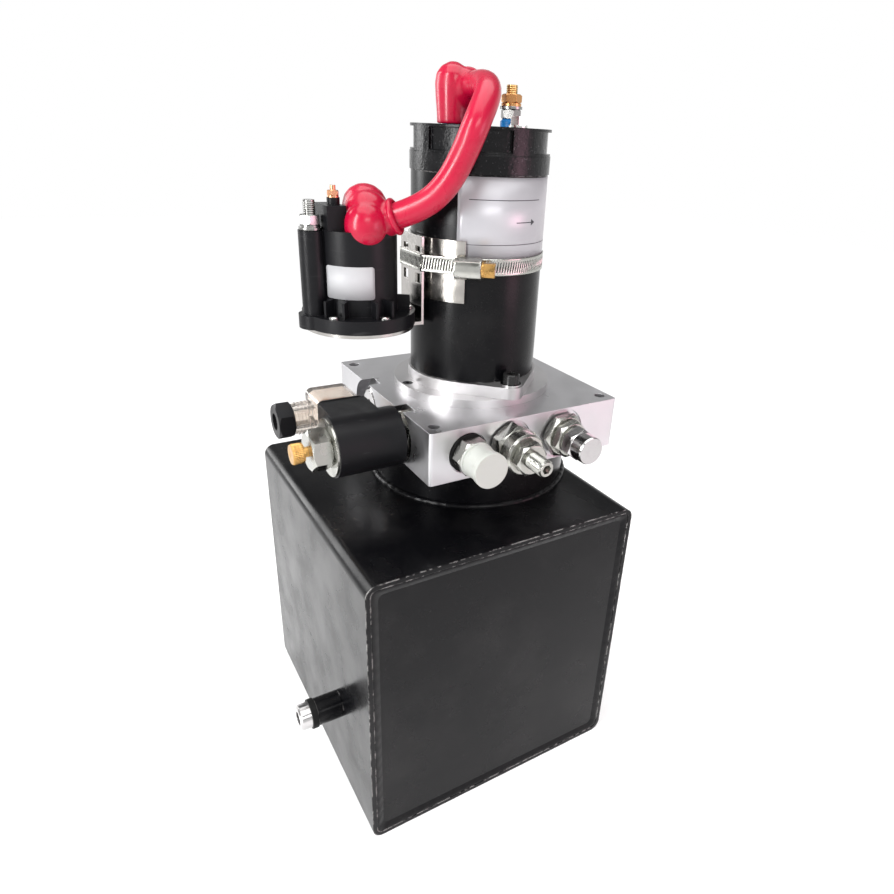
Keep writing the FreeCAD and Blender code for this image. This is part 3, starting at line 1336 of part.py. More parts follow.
def make_boots():
    turn = math.radians(number("stud_turn"))
    out = number("stud_out")
    gap = number("boot_gap")
    foot = FreeCAD.Vector(
        number("axis_across") - out * math.cos(turn),
        number("axis_back") - out * math.sin(turn), number("cap_top") + gap,
    )
    make_boot(foot, "motor_boot", 22.4, LEAD_ROUTE[0], LEAD_ROUTE[1])
    foot = FreeCAD.Vector(
        number("right_stud"), number("contactor_stud_back"), number("case_top") + gap,
    )
    make_boot(foot, "contactor_boot", 16.8, LEAD_ROUTE[-1], LEAD_ROUTE[-2])


def make_breather():
    body = fuse([
        rod("@vent_radius", 16, "0 - 16"), hex_nut("@vent_flats", 6, 0.3),
        rod("@vent_radius - 1", 3, 6),
    ])
    vent = cut(body, [rod("@vent_way", 26, "0 - 16.5")])
    cap = cut(
        fuse([rod("@vent_cap", 9, 9.1), taper("@vent_cap", "@vent_cap - 1.5", 1.5, 18.1)]),
        [rod("@vent_way", 7, 9.1), rod("@vent_cap - 3", 2.5, 13)],
    )
    for part in (vent, cap):
        across = "@block_x + @vent_across"
        keep(part, "breather", across, "@block_face_back", "@block_mid", "back")


def name_pieces():
    named = []
    for label, members in pieces.items():
        item = members[0] if len(members) == 1 else group(members)
        item.Label = label
        named.append(item)
    return named


def write_pieces():
    named = name_pieces()
    doc.recompute()
    for item in doc.Objects:
        if "Invalid" in item.State or "Error" in item.State:
            raise RuntimeError("%s (%s) failed to build" % (item.Name, item.Label))
    os.makedirs("parts", exist_ok=True)
    for item in named:
        shape = item.Shape
        if shape.isNull() or not shape.isValid() or not shape.Solids:
            raise RuntimeError("%s has no valid shape" % item.Label)
        shape.exportStep(os.path.join("parts", item.Label + ".step"))


fill_sheet()
make_tank()
make_neck()
make_drain()
make_block()
make_adaptor_ring()
make_motor_flange()
make_motor_shell()
make_rotor()
make_motor_bearings()
make_brushes()
make_motor_cap()
make_motor_terminals()
make_plates()
make_gears()
make_pump()
make_pipes()
make_port_fitting()
make_flow_valve()
make_relief_valve()
make_valve()
make_plug()
make_connector()
make_contactor_base()
make_contactor_case()
make_contactor_inside()
make_contactor_terminals()
make_saddle()
make_band()
make_band_screw()
make_lead()
make_boots()
make_breather()
write_pieces()
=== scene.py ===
import bmesh
import bpy
import json
import math
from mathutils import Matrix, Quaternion, Vector


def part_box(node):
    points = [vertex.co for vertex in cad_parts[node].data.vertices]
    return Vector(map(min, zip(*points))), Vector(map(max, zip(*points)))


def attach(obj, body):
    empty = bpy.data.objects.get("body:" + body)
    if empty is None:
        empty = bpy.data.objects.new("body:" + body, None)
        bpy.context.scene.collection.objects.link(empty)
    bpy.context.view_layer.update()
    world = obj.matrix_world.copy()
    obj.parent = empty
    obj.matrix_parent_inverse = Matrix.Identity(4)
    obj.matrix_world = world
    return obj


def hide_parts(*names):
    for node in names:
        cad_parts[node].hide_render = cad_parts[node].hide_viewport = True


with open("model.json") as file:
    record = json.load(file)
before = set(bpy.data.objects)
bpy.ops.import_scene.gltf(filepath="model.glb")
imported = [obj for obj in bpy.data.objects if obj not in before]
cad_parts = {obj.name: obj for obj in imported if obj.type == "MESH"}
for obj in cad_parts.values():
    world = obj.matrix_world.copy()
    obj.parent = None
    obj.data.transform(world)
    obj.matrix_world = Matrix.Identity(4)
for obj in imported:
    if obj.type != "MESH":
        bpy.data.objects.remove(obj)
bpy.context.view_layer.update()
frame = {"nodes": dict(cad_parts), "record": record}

MM = 0.001


def span(node):
    low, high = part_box(node)
    return Vector(low), Vector(high)


def centre(node):
    low, high = span(node)
    return (low + high) / 2


UP = Vector((0, 0, 1))
TUBE_BOTTOM = span("motor_tube")[0].z
MOTOR_AXIS = centre("motor_tube")
TANK_LOW, TANK_HIGH = span("tank_wrap")
CAP_TOP = span("motor_end_cap")[1].z

# the contactor's barrier stands above its roof, where its studs come out
BARRIER_TALL = 16 * MM
CASE_TOP = span("contactor_case")[1].z - BARRIER_TALL
CASE_AXIS = -47.5 * MM
SUPPLY_STUD = Vector((-74 * MM, 8 * MM, 0))
LEAD_STUD = Vector((-44 * MM, 8 * MM, 0))
SUPPLY_STUD_RIGHT = -66 * MM

# the motor's two studs stand across its axis from each other
STUD_TURN = math.radians(-31.5)
STUD_OUT = 16.5 * MM
STUD_ARM = Vector((STUD_OUT * math.cos(STUD_TURN), STUD_OUT * math.sin(STUD_TURN), 0))
LOWER_NUT_TOP = 10.9 * MM
CAP_BOLT_DEEP = 12 * MM

# ------------------------------------------------------------------ materials


class Surface:
    """A principled surface with its own small network of procedural detail."""

    def __init__(self, name, colour, rough, metallic=0.0):
        self.material = bpy.data.materials.new(name)
        self.material.use_nodes = True
        self.tree = self.material.node_tree
        self.shader = self.tree.nodes["Principled BSDF"]
        self.place = self.add("ShaderNodeTexCoord").outputs["Object"]
        self.shader.inputs["Base Color"].default_value = (*colour, 1)
        self.shader.inputs["Roughness"].default_value = rough
        self.shader.inputs["Metallic"].default_value = metallic
        self.colour = None
        self.flat = (*colour, 1)
        self.rough = rough
        self.normal = None

    def add(self, kind, **settings):
        node = self.tree.nodes.new(kind)
        for key, value in settings.items():
            setattr(node, key, value)
        return node

    def join(self, source, target):
        self.tree.links.new(source, target)

    def noise(self, scale, detail=4.0, stretch=(1, 1, 1), rough=0.5):
        mapping = self.add("ShaderNodeMapping")
        mapping.inputs["Scale"].default_value = stretch
        self.join(self.place, mapping.inputs["Vector"])
        noise = self.add("ShaderNodeTexNoise")
        noise.inputs["Scale"].default_value = scale
        noise.inputs["Detail"].default_value = detail
        noise.inputs["Roughness"].default_value = rough
        self.join(mapping.outputs["Vector"], noise.inputs["Vector"])
        return noise.outputs["Fac"]

    def turned(self, middle, lines):
        """Fine rings about an upright axis, as a lathe leaves."""
        shift = self.add("ShaderNodeVectorMath", operation="SUBTRACT")
        shift.inputs[1].default_value = middle
        self.join(self.place, shift.inputs[0])
        flatten = self.add("ShaderNodeVectorMath", operation="MULTIPLY")
        flatten.inputs[1].default_value = (1, 1, 0)
        self.join(shift.outputs[0], flatten.inputs[0])
        reach = self.add("ShaderNodeVectorMath", operation="LENGTH")
        self.join(flatten.outputs[0], reach.inputs[0])
        rings = self.add("ShaderNodeTexNoise", noise_dimensions="1D")
        rings.inputs["Scale"].default_value = lines
        rings.inputs["Detail"].default_value = 3
        self.join(reach.outputs["Value"], rings.inputs["W"])
        return rings.outputs["Fac"]

    def span(self, source, low, high, to_low, to_high):
        ramp = self.add("ShaderNodeMapRange")
        ramp.inputs["From Min"].default_value = low
        ramp.inputs["From Max"].default_value = high
        ramp.inputs["To Min"].default_value = to_low
        ramp.inputs["To Max"].default_value = to_high
        self.join(source, ramp.inputs["Value"])
        return ramp.outputs["Result"]

    def tint(self, mask, colour):
        """Lays another colour over the surface where the mask is 1."""
        mix = self.add("ShaderNodeMix", data_type="RGBA")
        self.join(mask, mix.inputs["Factor"])
        if self.colour is None:
            mix.inputs[6].default_value = self.flat
        else:
            self.join(self.colour, mix.inputs[6])
        mix.inputs[7].default_value = (*colour, 1)
        self.colour = mix.outputs[2]
        self.join(self.colour, self.shader.inputs["Base Color"])
        return self

    def where(self, axis, limit, above=True):
        """A mask that is 1 on one side of a plane across the object."""
        parts = self.add("ShaderNodeSeparateXYZ")
        self.join(self.place, parts.inputs[0])
        kind = "GREATER_THAN" if above else "LESS_THAN"
        test = self.add("ShaderNodeMath", operation=kind)
        test.inputs[1].default_value = limit
        self.join(parts.outputs[axis], test.inputs[0])
        return test.outputs[0]

    def vary_rough(self, source, spread):
        low = max(0.02, self.rough - spread)
        varied = self.span(source, 0.3, 0.7, low, self.rough + spread)
        self.join(varied, self.shader.inputs["Roughness"])
        return self

    def soften(self, radius):
        """Rounds the light on sharp edges, and keeps the rounded normal for the bumps."""
        bevel = self.add("ShaderNodeBevel", samples=4)
        bevel.inputs["Radius"].default_value = radius
        self.normal = bevel.outputs["Normal"]
        self.join(self.normal, self.shader.inputs["Normal"])
        return self

    def wear(self, radius, colour, strength):
        """Rubs the finish off the corners."""
        bevel = self.add("ShaderNodeBevel", samples=4)
        bevel.inputs["Radius"].default_value = radius
        plain = self.add("ShaderNodeNewGeometry")
        dot = self.add("ShaderNodeVectorMath", operation="DOT_PRODUCT")
        self.join(bevel.outputs["Normal"], dot.inputs[0])
        self.join(plain.outputs["Normal"], dot.inputs[1])
        edge = self.span(dot.outputs["Value"], 0.995, 0.93, 0, 1)
        patch = self.span(self.noise(260, 6), 0.46, 0.6, 0, strength)
        both = self.add("ShaderNodeMath", operation="MULTIPLY", use_clamp=True)
        self.join(edge, both.inputs[0])
        self.join(patch, both.inputs[1])
        return self.tint(both.outputs[0], colour)

    def bump(self, source, strength, depth=0.0002):
        bump = self.add("ShaderNodeBump")
        bump.inputs["Strength"].default_value = strength
        bump.inputs["Distance"].default_value = depth
        self.join(source, bump.inputs["Height"])
        if self.normal is not None:
            self.join(self.normal, bump.inputs["Normal"])
        self.normal = bump.outputs["Normal"]
        self.join(self.normal, self.shader.inputs["Normal"])
        return self

    def shine(self, level):
        self.shader.inputs["Specular IOR Level"].default_value = level
        return self

    def matt_where(self, mask):
        """No metal where the mask is 1."""
        self.join(self.span(mask, 0, 1, 1, 0), self.shader.inputs["Metallic"])
        return self

    def coat(self, weight, rough=0.06):
        self.shader.inputs["Coat Weight"].default_value = weight
        self.shader.inputs["Coat Roughness"].default_value = rough
        return self

    def clear(self, transmission, ior=1.49):
        self.shader.inputs["Transmission Weight"].default_value = transmission
        self.shader.inputs["IOR"].default_value = ior
        return self

    def milky(self, weight, radius):
        self.shader.inputs["Subsurface Weight"].default_value = weight
        self.shader.inputs["Subsurface Radius"].default_value = radius
        self.shader.inputs["Subsurface Scale"].default_value = 0.004
        return self


def black_paint(name="black_paint", worn=0.8):
    face = Surface(name, (0.0020, 0.0020, 0.0026), 0.25).shine(0.15)
    face.soften(0.9 * MM).vary_rough(face.noise(35), 0.08)
    face.bump(face.noise(420, 3), 0.10).bump(face.noise(45, 2), 0.06, 0.0006)
    cloud = face.span(face.noise(16, 6, rough=0.6), 0.48, 0.78, 0, 0.03)
    face.tint(cloud, (0.30, 0.29, 0.28))
    dust = face.span(face.noise(1500, 2, rough=0.7), 0.70, 0.76, 0, 0.20)
    face.tint(dust, (0.35, 0.34, 0.33))
    return face.wear(1.0 * MM, (0.42, 0.41, 0.40), worn)


def cast_paint():
    face = Surface("cast_paint", (0.0025, 0.0025, 0.0032), 0.20).shine(0.2)
    face.soften(0.7 * MM).vary_rough(face.noise(120), 0.09)
    face.bump(face.noise(330, 5, rough=0.6), 0.6, 0.0005)
    flecks = face.span(face.noise(900, 3), 0.66, 0.72, 0, 0.3)
    return face.tint(flecks, (0.20, 0.20, 0.21))


def machined(name, colour, rough, stretch, lines=True, middle=None):
    face = Surface(name, colour, rough, 1.0)
    face.soften(0.35 * MM).vary_rough(face.noise(60, 5), 0.08)
    if middle is not None:
        face.bump(face.turned(middle, 5200), 0.16, 0.00006)
    if lines:
        face.bump(face.noise(1.0, 3, stretch), 0.12, 0.00008)
    shade = face.span(face.noise(28, 5), 0.35, 0.7, 0, 0.35)
    return face.tint(shade, tuple(0.72 * part for part in colour))


def plated(name, colour, rough, spots=0.3, dark=(0.30, 0.30, 0.29)):
    face = Surface(name, colour, rough, 1.0)
    face.soften(0.25 * MM).vary_rough(face.noise(160, 5), 0.08)
    face.bump(face.noise(900, 3), 0.10, 0.00008)
    stain = face.span(face.noise(220, 6), 0.52, 0.72, 0, spots)
    return face.tint(stain, dark)


def moulded(name, colour, rough, grain=0.18):
    face = Surface(name, colour, rough).shine(0.16)
    face.soften(0.35 * MM).vary_rough(face.noise(90, 4), 0.06)
    face.bump(face.noise(1600, 2), grain, 0.00008)
    scuff = face.span(face.noise(1.0, 5, (60, 60, 420)), 0.64, 0.76, 0, 0.05)
    return face.tint(scuff, (0.30, 0.30, 0.30))


def red_pvc():
    face = Surface("red_pvc", (0.36, 0.002, 0.027), 0.30).shine(0.3)
    face.coat(0.18, 0.12).vary_rough(face.noise(70, 3), 0.08)
    face.soften(0.3 * MM).bump(face.noise(160, 3), 0.16, 0.0003)
    deeper = face.span(face.noise(40, 4), 0.45, 0.75, 0, 0.5)
    return face.tint(deeper, (0.28, 0.0, 0.017))


def smoky_clear():
    face = Surface("smoky_clear", (0.90, 0.84, 0.78), 0.10)
    face.clear(0.94).vary_rough(face.noise(90, 4), 0.05)
    face.bump(face.noise(300, 3), 0.12, 0.0002)
    return face.tint(face.span(face.noise(60, 3), 0.5, 0.8, 0, 0.4), (0.74, 0.62, 0.54))


def natural_cap():
    face = Surface("natural_cap", (0.40, 0.41, 0.385), 0.34).shine(0.35)
    face.milky(0.3, (1.0, 1.0, 0.9)).vary_rough(face.noise(120, 4), 0.08)
    face.soften(0.6 * MM).bump(face.noise(380, 4), 0.25, 0.0003)
    return face.tint(face.span(face.noise(90, 4), 0.45, 0.8, 0, 0.4), (0.36, 0.37, 0.34))


def label_film():
    face = Surface("label_film", (0.41, 0.41, 0.43), 0.34, 0.3)
    face.bump(face.noise(1.0, 2, (900, 900, 30)), 0.05, 0.00004)
    face.vary_rough(face.noise(200, 3), 0.05)
    return face.tint(face.span(face.noise(35, 4), 0.45, 0.75, 0, 0.3), (0.34, 0.34, 0.37))


def paper_tag():
    face = Surface("paper_tag", (0.34, 0.34, 0.35), 0.5)
    return face.tint(face.span(face.noise(120, 4), 0.45, 0.75, 0, 0.3), (0.29, 0.29, 0.305))


def bolt_metal():
    """Zinc on the cap's two bolts, black on the flange's socket heads."""
    face = plated("bolt_metal", (0.62, 0.62, 0.60), 0.22)
    low = face.where("Z", CAP_TOP - CAP_BOLT_DEEP, above=False)
    return face.tint(low, (0.010, 0.010, 0.010)).matt_where(low).shine(0.3)


def plain_ink():
    face = Surface("plain_ink", (0.02, 0.02, 0.025), 0.5)
    return face.tint(face.span(face.noise(700, 3), 0.5, 0.75, 0, 0.3), (0.10, 0.10, 0.11))


def nut_metal():
    """Zinc, and brass on the motor's upper nut."""
    face = plated("nut_metal", (0.27, 0.27, 0.26), 0.26)
    return face.tint(face.where("Z", CAP_TOP + LOWER_NUT_TOP), (0.52, 0.26, 0.10))


def stud_metal():
    """Zinc on the supply stud, copper on the control stud and brass on the motor's."""
    face = plated("stud_metal", (0.27, 0.27, 0.26), 0.26)
    face.tint(face.where("X", SUPPLY_STUD_RIGHT), (0.58, 0.30, 0.17))
    return face.tint(face.where("Z", CAP_TOP), (0.55, 0.38, 0.16))


# how far noise is stretched: milling lines along X, drawing lines along Z
ALONG_X = (90, 2600, 900)
ALONG_Z = (900, 900, 60)
GROUND = (900, 900, 4000)
TURNED = (MOTOR_AXIS.x, MOTOR_AXIS.y, 0)
FINISH = {
    "black_paint": black_paint(),
    "machined_aluminium": machined("milled_block", (0.60, 0.595, 0.61), 0.34, ALONG_X),
    "zinc_steel": plated("zinc_steel", (0.42, 0.42, 0.39), 0.24),
    "bright_steel": plated("bright_steel", (0.52, 0.51, 0.51), 0.18, 0.15),
    "yellow_zinc": plated("yellow_zinc", (0.56, 0.33, 0.11), 0.28, 0.4, (0.34, 0.16, 0.05)),
    "copper": plated("copper", (0.70, 0.32, 0.17), 0.35, 0.4, (0.30, 0.12, 0.06)),
    "black_plastic": moulded("black_plastic", (0.0045, 0.0045, 0.0055), 0.38),
    "clear_plastic": smoky_clear(),
    "natural_plastic": natural_cap(),
    "blue_plastic": moulded("blue_plastic", (0.01, 0.13, 0.36), 0.28, 0.05),
    "red_rubber": red_pvc(),
    "black_rubber": moulded("black_rubber", (0.005, 0.005, 0.005), 0.55),
    "label": label_film(),
    "ferrite": moulded("ferrite", (0.05, 0.05, 0.055), 0.6),
    "core_steel": machined("core_steel", (0.35, 0.35, 0.36), 0.4, GROUND),
    "cast_aluminium": machined("extruded", (0.60, 0.60, 0.62), 0.38, ALONG_Z),
}
SPECIAL = {
    "adaptor_ring": machined("turned_ring", (0.58, 0.57, 0.575), 0.36, ALONG_X, False, TURNED),
    "motor_flange": machined("turned_flange", (0.52, 0.51, 0.515), 0.42, ALONG_X, False, TURNED),
    "motor_end_cap": cast_paint(),
    "motor_bolts": bolt_metal(),
    "contactor_rivets": plated("rivet_zinc", (0.60, 0.60, 0.58), 0.22),
    "terminal_nuts": nut_metal(),
    "terminal_studs": stud_metal(),
    "solenoid_coil": moulded("coil_resin", (0.0055, 0.0055, 0.0065), 0.44, 0.35),
    "contactor_base": plated("sheet_zinc", (0.50, 0.48, 0.46), 0.20, 0.2),
    # painted reflection: the saddle's wings get a darker, browner copy of the bracket's sheet
    # zinc, for the dark parts mirrored in them
    "motor_saddle": plated("saddle_zinc_painted_reflection", (0.42, 0.40, 0.375), 0.20, 0.2),
}
INK = plain_ink()
WELD = black_paint("weld_paint", 0.25)
TAG = paper_tag()
RED = FINISH["red_rubber"]
ZINC = FINISH["zinc_steel"]


def dress_frame():
    for sub in frame["record"]["subparts"]:
        node = sub["node"]
        surface = SPECIAL.get(node, FINISH[sub["material_slot"]])
        item = frame["nodes"][node]
        for socket in item.material_slots:
            socket.material = surface.material
        if not item.material_slots:
            item.data.materials.append(surface.material)


# ------------------------------------------------------------------ mesh helpers


def piece(name, mesh, surface, body="unit", sharp=35):
    item = bpy.data.objects.new(name, mesh)
    bpy.context.scene.collection.objects.link(item)
    mesh.materials.append(surface.material)
    mesh.polygons.foreach_set("use_smooth", [True] * len(mesh.polygons))
    mesh.set_sharp_from_angle(angle=math.radians(sharp))
    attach(item, body)
    return item


def mesh_of(name, points, faces):
    mesh = bpy.data.meshes.new(name)
    mesh.from_pydata([tuple(point) for point in points], [], faces)
    mesh.validate()
    build = bmesh.new()
    build.from_mesh(mesh)
    bmesh.ops.recalc_face_normals(build, faces=build.faces)
    build.to_mesh(mesh)
    build.free()
    return mesh


def skin(rings, closed=True, capped=True):
    """Points and faces of a tube through rings of equal count."""
    count = len(rings[0])
    points = [point for ring in rings for point in ring]
    faces = []
    for level in range(len(rings) - 1):
        for step in range(count if closed else count - 1):
            here = level * count + step
            across = level * count + (step + 1) % count
            faces.append((here, across, across + count, here + count))
    if capped:
        faces.append(tuple(range(count))[::-1])
        faces.append(tuple(range((len(rings) - 1) * count, len(rings) * count)))
    return points, faces


def frame_axes(direction):
    forward = Vector(direction).normalized()
    other = UP if abs(forward.z) < 0.9 else Vector((1, 0, 0))
    side = forward.cross(other).normalized()
    return forward, side, forward.cross(side)


def around(origin, direction, profile, count, radius_at=None):
    """Rings about an axis: profile is a list of (radius, distance along)."""
    forward, side, rise = frame_axes(direction)
    rings = []
    for radius, along in profile:
        ring = []
        for step in range(count):
            turn = 2 * math.pi * step / count
            reach = radius if radius_at is None else radius_at(radius, along, turn)
            offset = side * math.cos(turn) * reach + rise * math.sin(turn) * reach
            ring.append(Vector(origin) + forward * along + offset)
        rings.append(ring)
    return rings


def lathe(name, origin, direction, profile, surface, body="unit", count=64):
    points, faces = skin(around(origin, direction, profile, count))
    return piece(name, mesh_of(name, points, faces), surface, body)


def ridged_thread(radius, depth, pitch):
    """A radius that follows a thread's helix wherever the base is near the full radius."""
    def reach(base, along, turn):
        if base < radius - depth * 1.5:
            return base
        phase = (along / pitch - turn / (2 * math.pi)) % 1.0
        return base - depth * abs(2 * phase - 1)
    return reach


def thread_profile(radius, low, high, pitch):
    steps = int((high - low) / pitch * 8)
    return [(radius, low + (high - low) * step / steps) for step in range(steps + 1)]


def socket_end(origin, direction, radius, flats, deep, along, count=48):
    """The rings of a flat end with a hexagon socket sunk into it."""
    forward, side, rise = frame_axes(direction)

    def ring(reach_at, distance):
        points = []
        for step in range(count):
            turn = 2 * math.pi * step / count
            reach = reach_at(turn)
            offset = side * math.cos(turn) * reach + rise * math.sin(turn) * reach
            points.append(Vector(origin) + forward * distance + offset)
        return points

    def hexagon(turn):
        return flats / 2 / math.cos((turn % (math.pi / 3)) - math.pi / 6)

    return [
        ring(lambda turn: radius, along), ring(hexagon, along), ring(hexagon, along - deep),
        ring(lambda turn: flats * 0.1, along - deep * 1.15),
    ]


# ------------------------------------------------------------------ lead and boots

LEAD_RADIUS = 7 * MM
LEAD_ROUTE = (
    (21.5, 10.5, 422), (19.5, -6, 423.5), (11.5, -27.5, 419), (-1.5, -37, 403),
    (-5, -31, 388), (-11, -25.5, 373.5), (-20.5, -17, 362), (-31.5, -8, 356.8),
)
MOTOR_END = LEAD_ROUTE[:2]
CONTACTOR_END = LEAD_ROUTE[:-3:-1]

# outlines as (radius, height) and blobs as (middle, reach), all in millimetres
CUFF_EDGE = (
    (7.05, -2.6), (8.8, -2.7), (9.6, -2.1), (9.9, -1.2),
    (9.6, -0.3), (8.7, 0.3), (7.6, 0.5), (7.02, 0.2),
)
MOTOR_SHOULDER = ((20.5, 15, 421), (10.6, 10, 10.8))
HOOD = (
    (11.6, 0), (12.2, 4), (12.2, 11), (11.2, 16), (8.6, 19.6), (4.8, 22), (1.5, 22.8),
)
HOOD_LEAN = (0.03, -0.12, 1)
HOOD_DRAPE = ((-48.2, -5, 352), (11.4, 10.6, 12.2))
HOOD_BRIDGE = ((-45, 1, 358), (11.8, 11, 11.5))
MOTOR_CUFF = 10
CONTACTOR_CUFF = 15
BOOT_GRAIN = 0.7 * MM
BOOT_EASE = 8
BOOT_SEAT = 0.35 * MM
HOOD_SEAT = 0.3 * MM


def make_lead():
    curve = bpy.data.curves.new("jumper_cable", "CURVE")
    curve.dimensions = "3D"
    curve.bevel_depth = LEAD_RADIUS
    curve.bevel_resolution = 10
    curve.use_fill_caps = True
    spline = curve.splines.new("NURBS")
    spline.points.add(len(LEAD_ROUTE) - 1)
    for point, place in zip(spline.points, LEAD_ROUTE):
        point.co = (*(Vector(place) * MM), 1)
    spline.order_u = 3
    spline.use_endpoint_u = True
    spline.resolution_u = 16
    curve.materials.append(RED.material)
    item = bpy.data.objects.new("jumper_cable", curve)
    bpy.context.scene.collection.objects.link(item)
    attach(item, "unit")
    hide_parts("jumper_lead")


def blended(name, blobs, voxel, passes):
    """Several closed forms melted into one moulded skin."""
    build = bmesh.new()
    for points, faces in blobs:
        corners = [build.verts.new(point) for point in points]
        for face in faces:
            build.faces.new([corners[index] for index in face])
    bmesh.ops.recalc_face_normals(build, faces=build.faces)
    mesh = bpy.data.meshes.new(name)
    build.to_mesh(mesh)
    build.free()
    item = bpy.data.objects.new(name, mesh)
    bpy.context.scene.collection.objects.link(item)
    melt = item.modifiers.new("melt", "REMESH")
    melt.mode = "VOXEL"
    melt.voxel_size = voxel
    smooth = item.modifiers.new("ease", "SMOOTH")
    smooth.factor = 0.5
    smooth.iterations = passes
    depsgraph = bpy.context.evaluated_depsgraph_get()
    result = bpy.data.meshes.new_from_object(item.evaluated_get(depsgraph))
    bpy.data.objects.remove(item)
    return result


def blob(origin, direction, profile, count=48):
    return skin(around(origin, direction, [(r * MM, a * MM) for r, a in profile], count))


def lead_aim(ends):
    """Where the lead comes out of a boot, and which way it leaves."""
    tip, beyond = (Vector(end) * MM for end in ends)
    return tip, (beyond - tip).normalized()


def cuff(ends, length):
    tip, aim = lead_aim(ends)
    outline = [(8.8, 0), (9.0, length * 0.5), (8.9, length - 1.2), (8.5, length - 0.4)]
    return blob(tip - aim * length * MM, aim, outline)


def cuff_ring(name, ends):
    """The thick rolled edge at the mouth of a boot's cuff."""
    tip, aim = lead_aim(ends)
    profile = [(radius * MM, along * MM) for radius, along in CUFF_EDGE]
    rings = around(tip, aim, profile + profile[:1], 72)
    points, faces = skin(rings, capped=False)
    ring = piece(name, mesh_of(name, points, faces), RED, sharp=80)
    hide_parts("cable_boots")


def egg(middle, reach, count=40):
    """A closed rounded blob, in millimetres."""
    rings = []
    for level in range(1, count // 2):
        tilt = math.pi * level / (count // 2)
        flat, rise = math.sin(tilt), -math.cos(tilt)
        ring = []
        for step in range(count):
            turn = 2 * math.pi * step / count
            way = (flat * math.cos(turn), flat * math.sin(turn), rise)
            ring.append(Vector([(m + r * w) * MM for m, r, w in zip(middle, reach, way)]))
        rings.append(ring)
    return skin(rings)


def boot(name, blobs):
    melted = blended(name, blobs, BOOT_GRAIN, BOOT_EASE)
    item = piece(name, melted, RED, sharp=180)
    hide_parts("cable_boots")


def make_boots():
    top = span("cable_boots")[1].z
    foot = Vector((MOTOR_AXIS.x, MOTOR_AXIS.y, CAP_TOP + BOOT_SEAT)) - STUD_ARM
    peak = (top - foot.z) / MM
    shroud = blob(foot, UP, [
        (8.7, 0), (8.9, 5), (9.6, 12), (10.2, peak - 11),
        (9.4, peak - 6), (6.6, peak - 2.4), (2.2, peak - 0.1),
    ])
    boot("motor_boot", [shroud, egg(*MOTOR_SHOULDER), cuff(MOTOR_END, MOTOR_CUFF)])
    rest = LEAD_STUD + UP * (CASE_TOP + HOOD_SEAT)
    hood = blob(rest, HOOD_LEAN, HOOD)
    soft = [hood, egg(*HOOD_DRAPE), egg(*HOOD_BRIDGE)]
    boot("contactor_boot", soft + [cuff(CONTACTOR_END, CONTACTOR_CUFF)])
    cuff_ring("motor_cuff_ring", MOTOR_END)
    cuff_ring("contactor_cuff_ring", CONTACTOR_END)


# ------------------------------------------------------------------ hose clamp


# the band's radius on the bare tube and over the saddle, and the saddle's leg that it goes round
BAND_BARE, BAND_OVER = 40.15, 41.65
LEG_STAND, LEG_HALF = 44.1, 13.85
SADDLE_EDGE = math.radians(129)
BAND_PITCH = 0.42
BAND_LEVELS = (0.0, 0.7, 1.9, 7.6, 8.8, 9.5)
BAND_MIDDLE = 4.75
BAND_RIM = 0.25
BAND_THICK = 0.75 * MM
BAND_INSET = 1.25 * MM
SLOT_LEVEL = 2
SLOT_LEAN = 0.14
HOUSING_TURN = math.radians(-126)
HOUSING_OUT = 47.15 * MM
HOUSING_OUTLINE = (
    (-4.4, -6.0), (-1.0, -6.0), (1.6, -5.6), (3.6, -4.2), (4.4, -2.0), (4.5, 0.0),
    (4.4, 2.0), (3.6, 4.2), (1.6, 5.6), (-1.0, 6.0), (-4.4, 6.0),
)
HOUSING_STATIONS = ((-7.5, 0.93), (-7.0, 1.0), (0, 1.0), (7.0, 1.0), (7.5, 0.93))


def band_line():
    """The band's closed line about the motor's axis, in millimetres."""
    corner_turn = math.atan2(LEG_HALF, -LEG_STAND)
    corner = math.hypot(LEG_HALF, LEG_STAND)
    leave = corner_turn - math.acos(BAND_OVER / corner)
    start = SADDLE_EDGE - math.acos(BAND_BARE / BAND_OVER)
    line = []

    def arc(radius, first, last, steps):
        for step in range(steps):
            turn = first + (last - first) * step / steps
            line.append((radius * math.cos(turn), radius * math.sin(turn)))

    def spot(radius, turn):
        line.append((radius * math.cos(turn), radius * math.sin(turn)))

    arc(BAND_BARE, -start, start, 200)
    spot(BAND_BARE, start)
    arc(BAND_OVER, SADDLE_EDGE, leave, 12)
    spot(BAND_OVER, leave)
    line.append((-LEG_STAND, LEG_HALF))
    line.append((-LEG_STAND, -LEG_HALF))
    arc(BAND_OVER, -leave, -SADDLE_EDGE, 12)
    spot(BAND_OVER, -SADDLE_EDGE)
    return line


def resample(line, pitch):
    """Evenly spaced points along a closed line."""
    points = [Vector((x, y, 0)) for x, y in line]
    points.append(points[0])
    total = sum((b - a).length for a, b in zip(points, points[1:]))
    count = int(round(total / pitch))
    step = total / count
    result = []
    walked = 0.0
    wanted = 0.0
    for a, b in zip(points, points[1:]):
        run = (b - a).length
        while wanted < walked + run - 1e-9 and len(result) < count:
            result.append(a + (b - a) * ((wanted - walked) / run))
            wanted += step
        walked += run
    return result


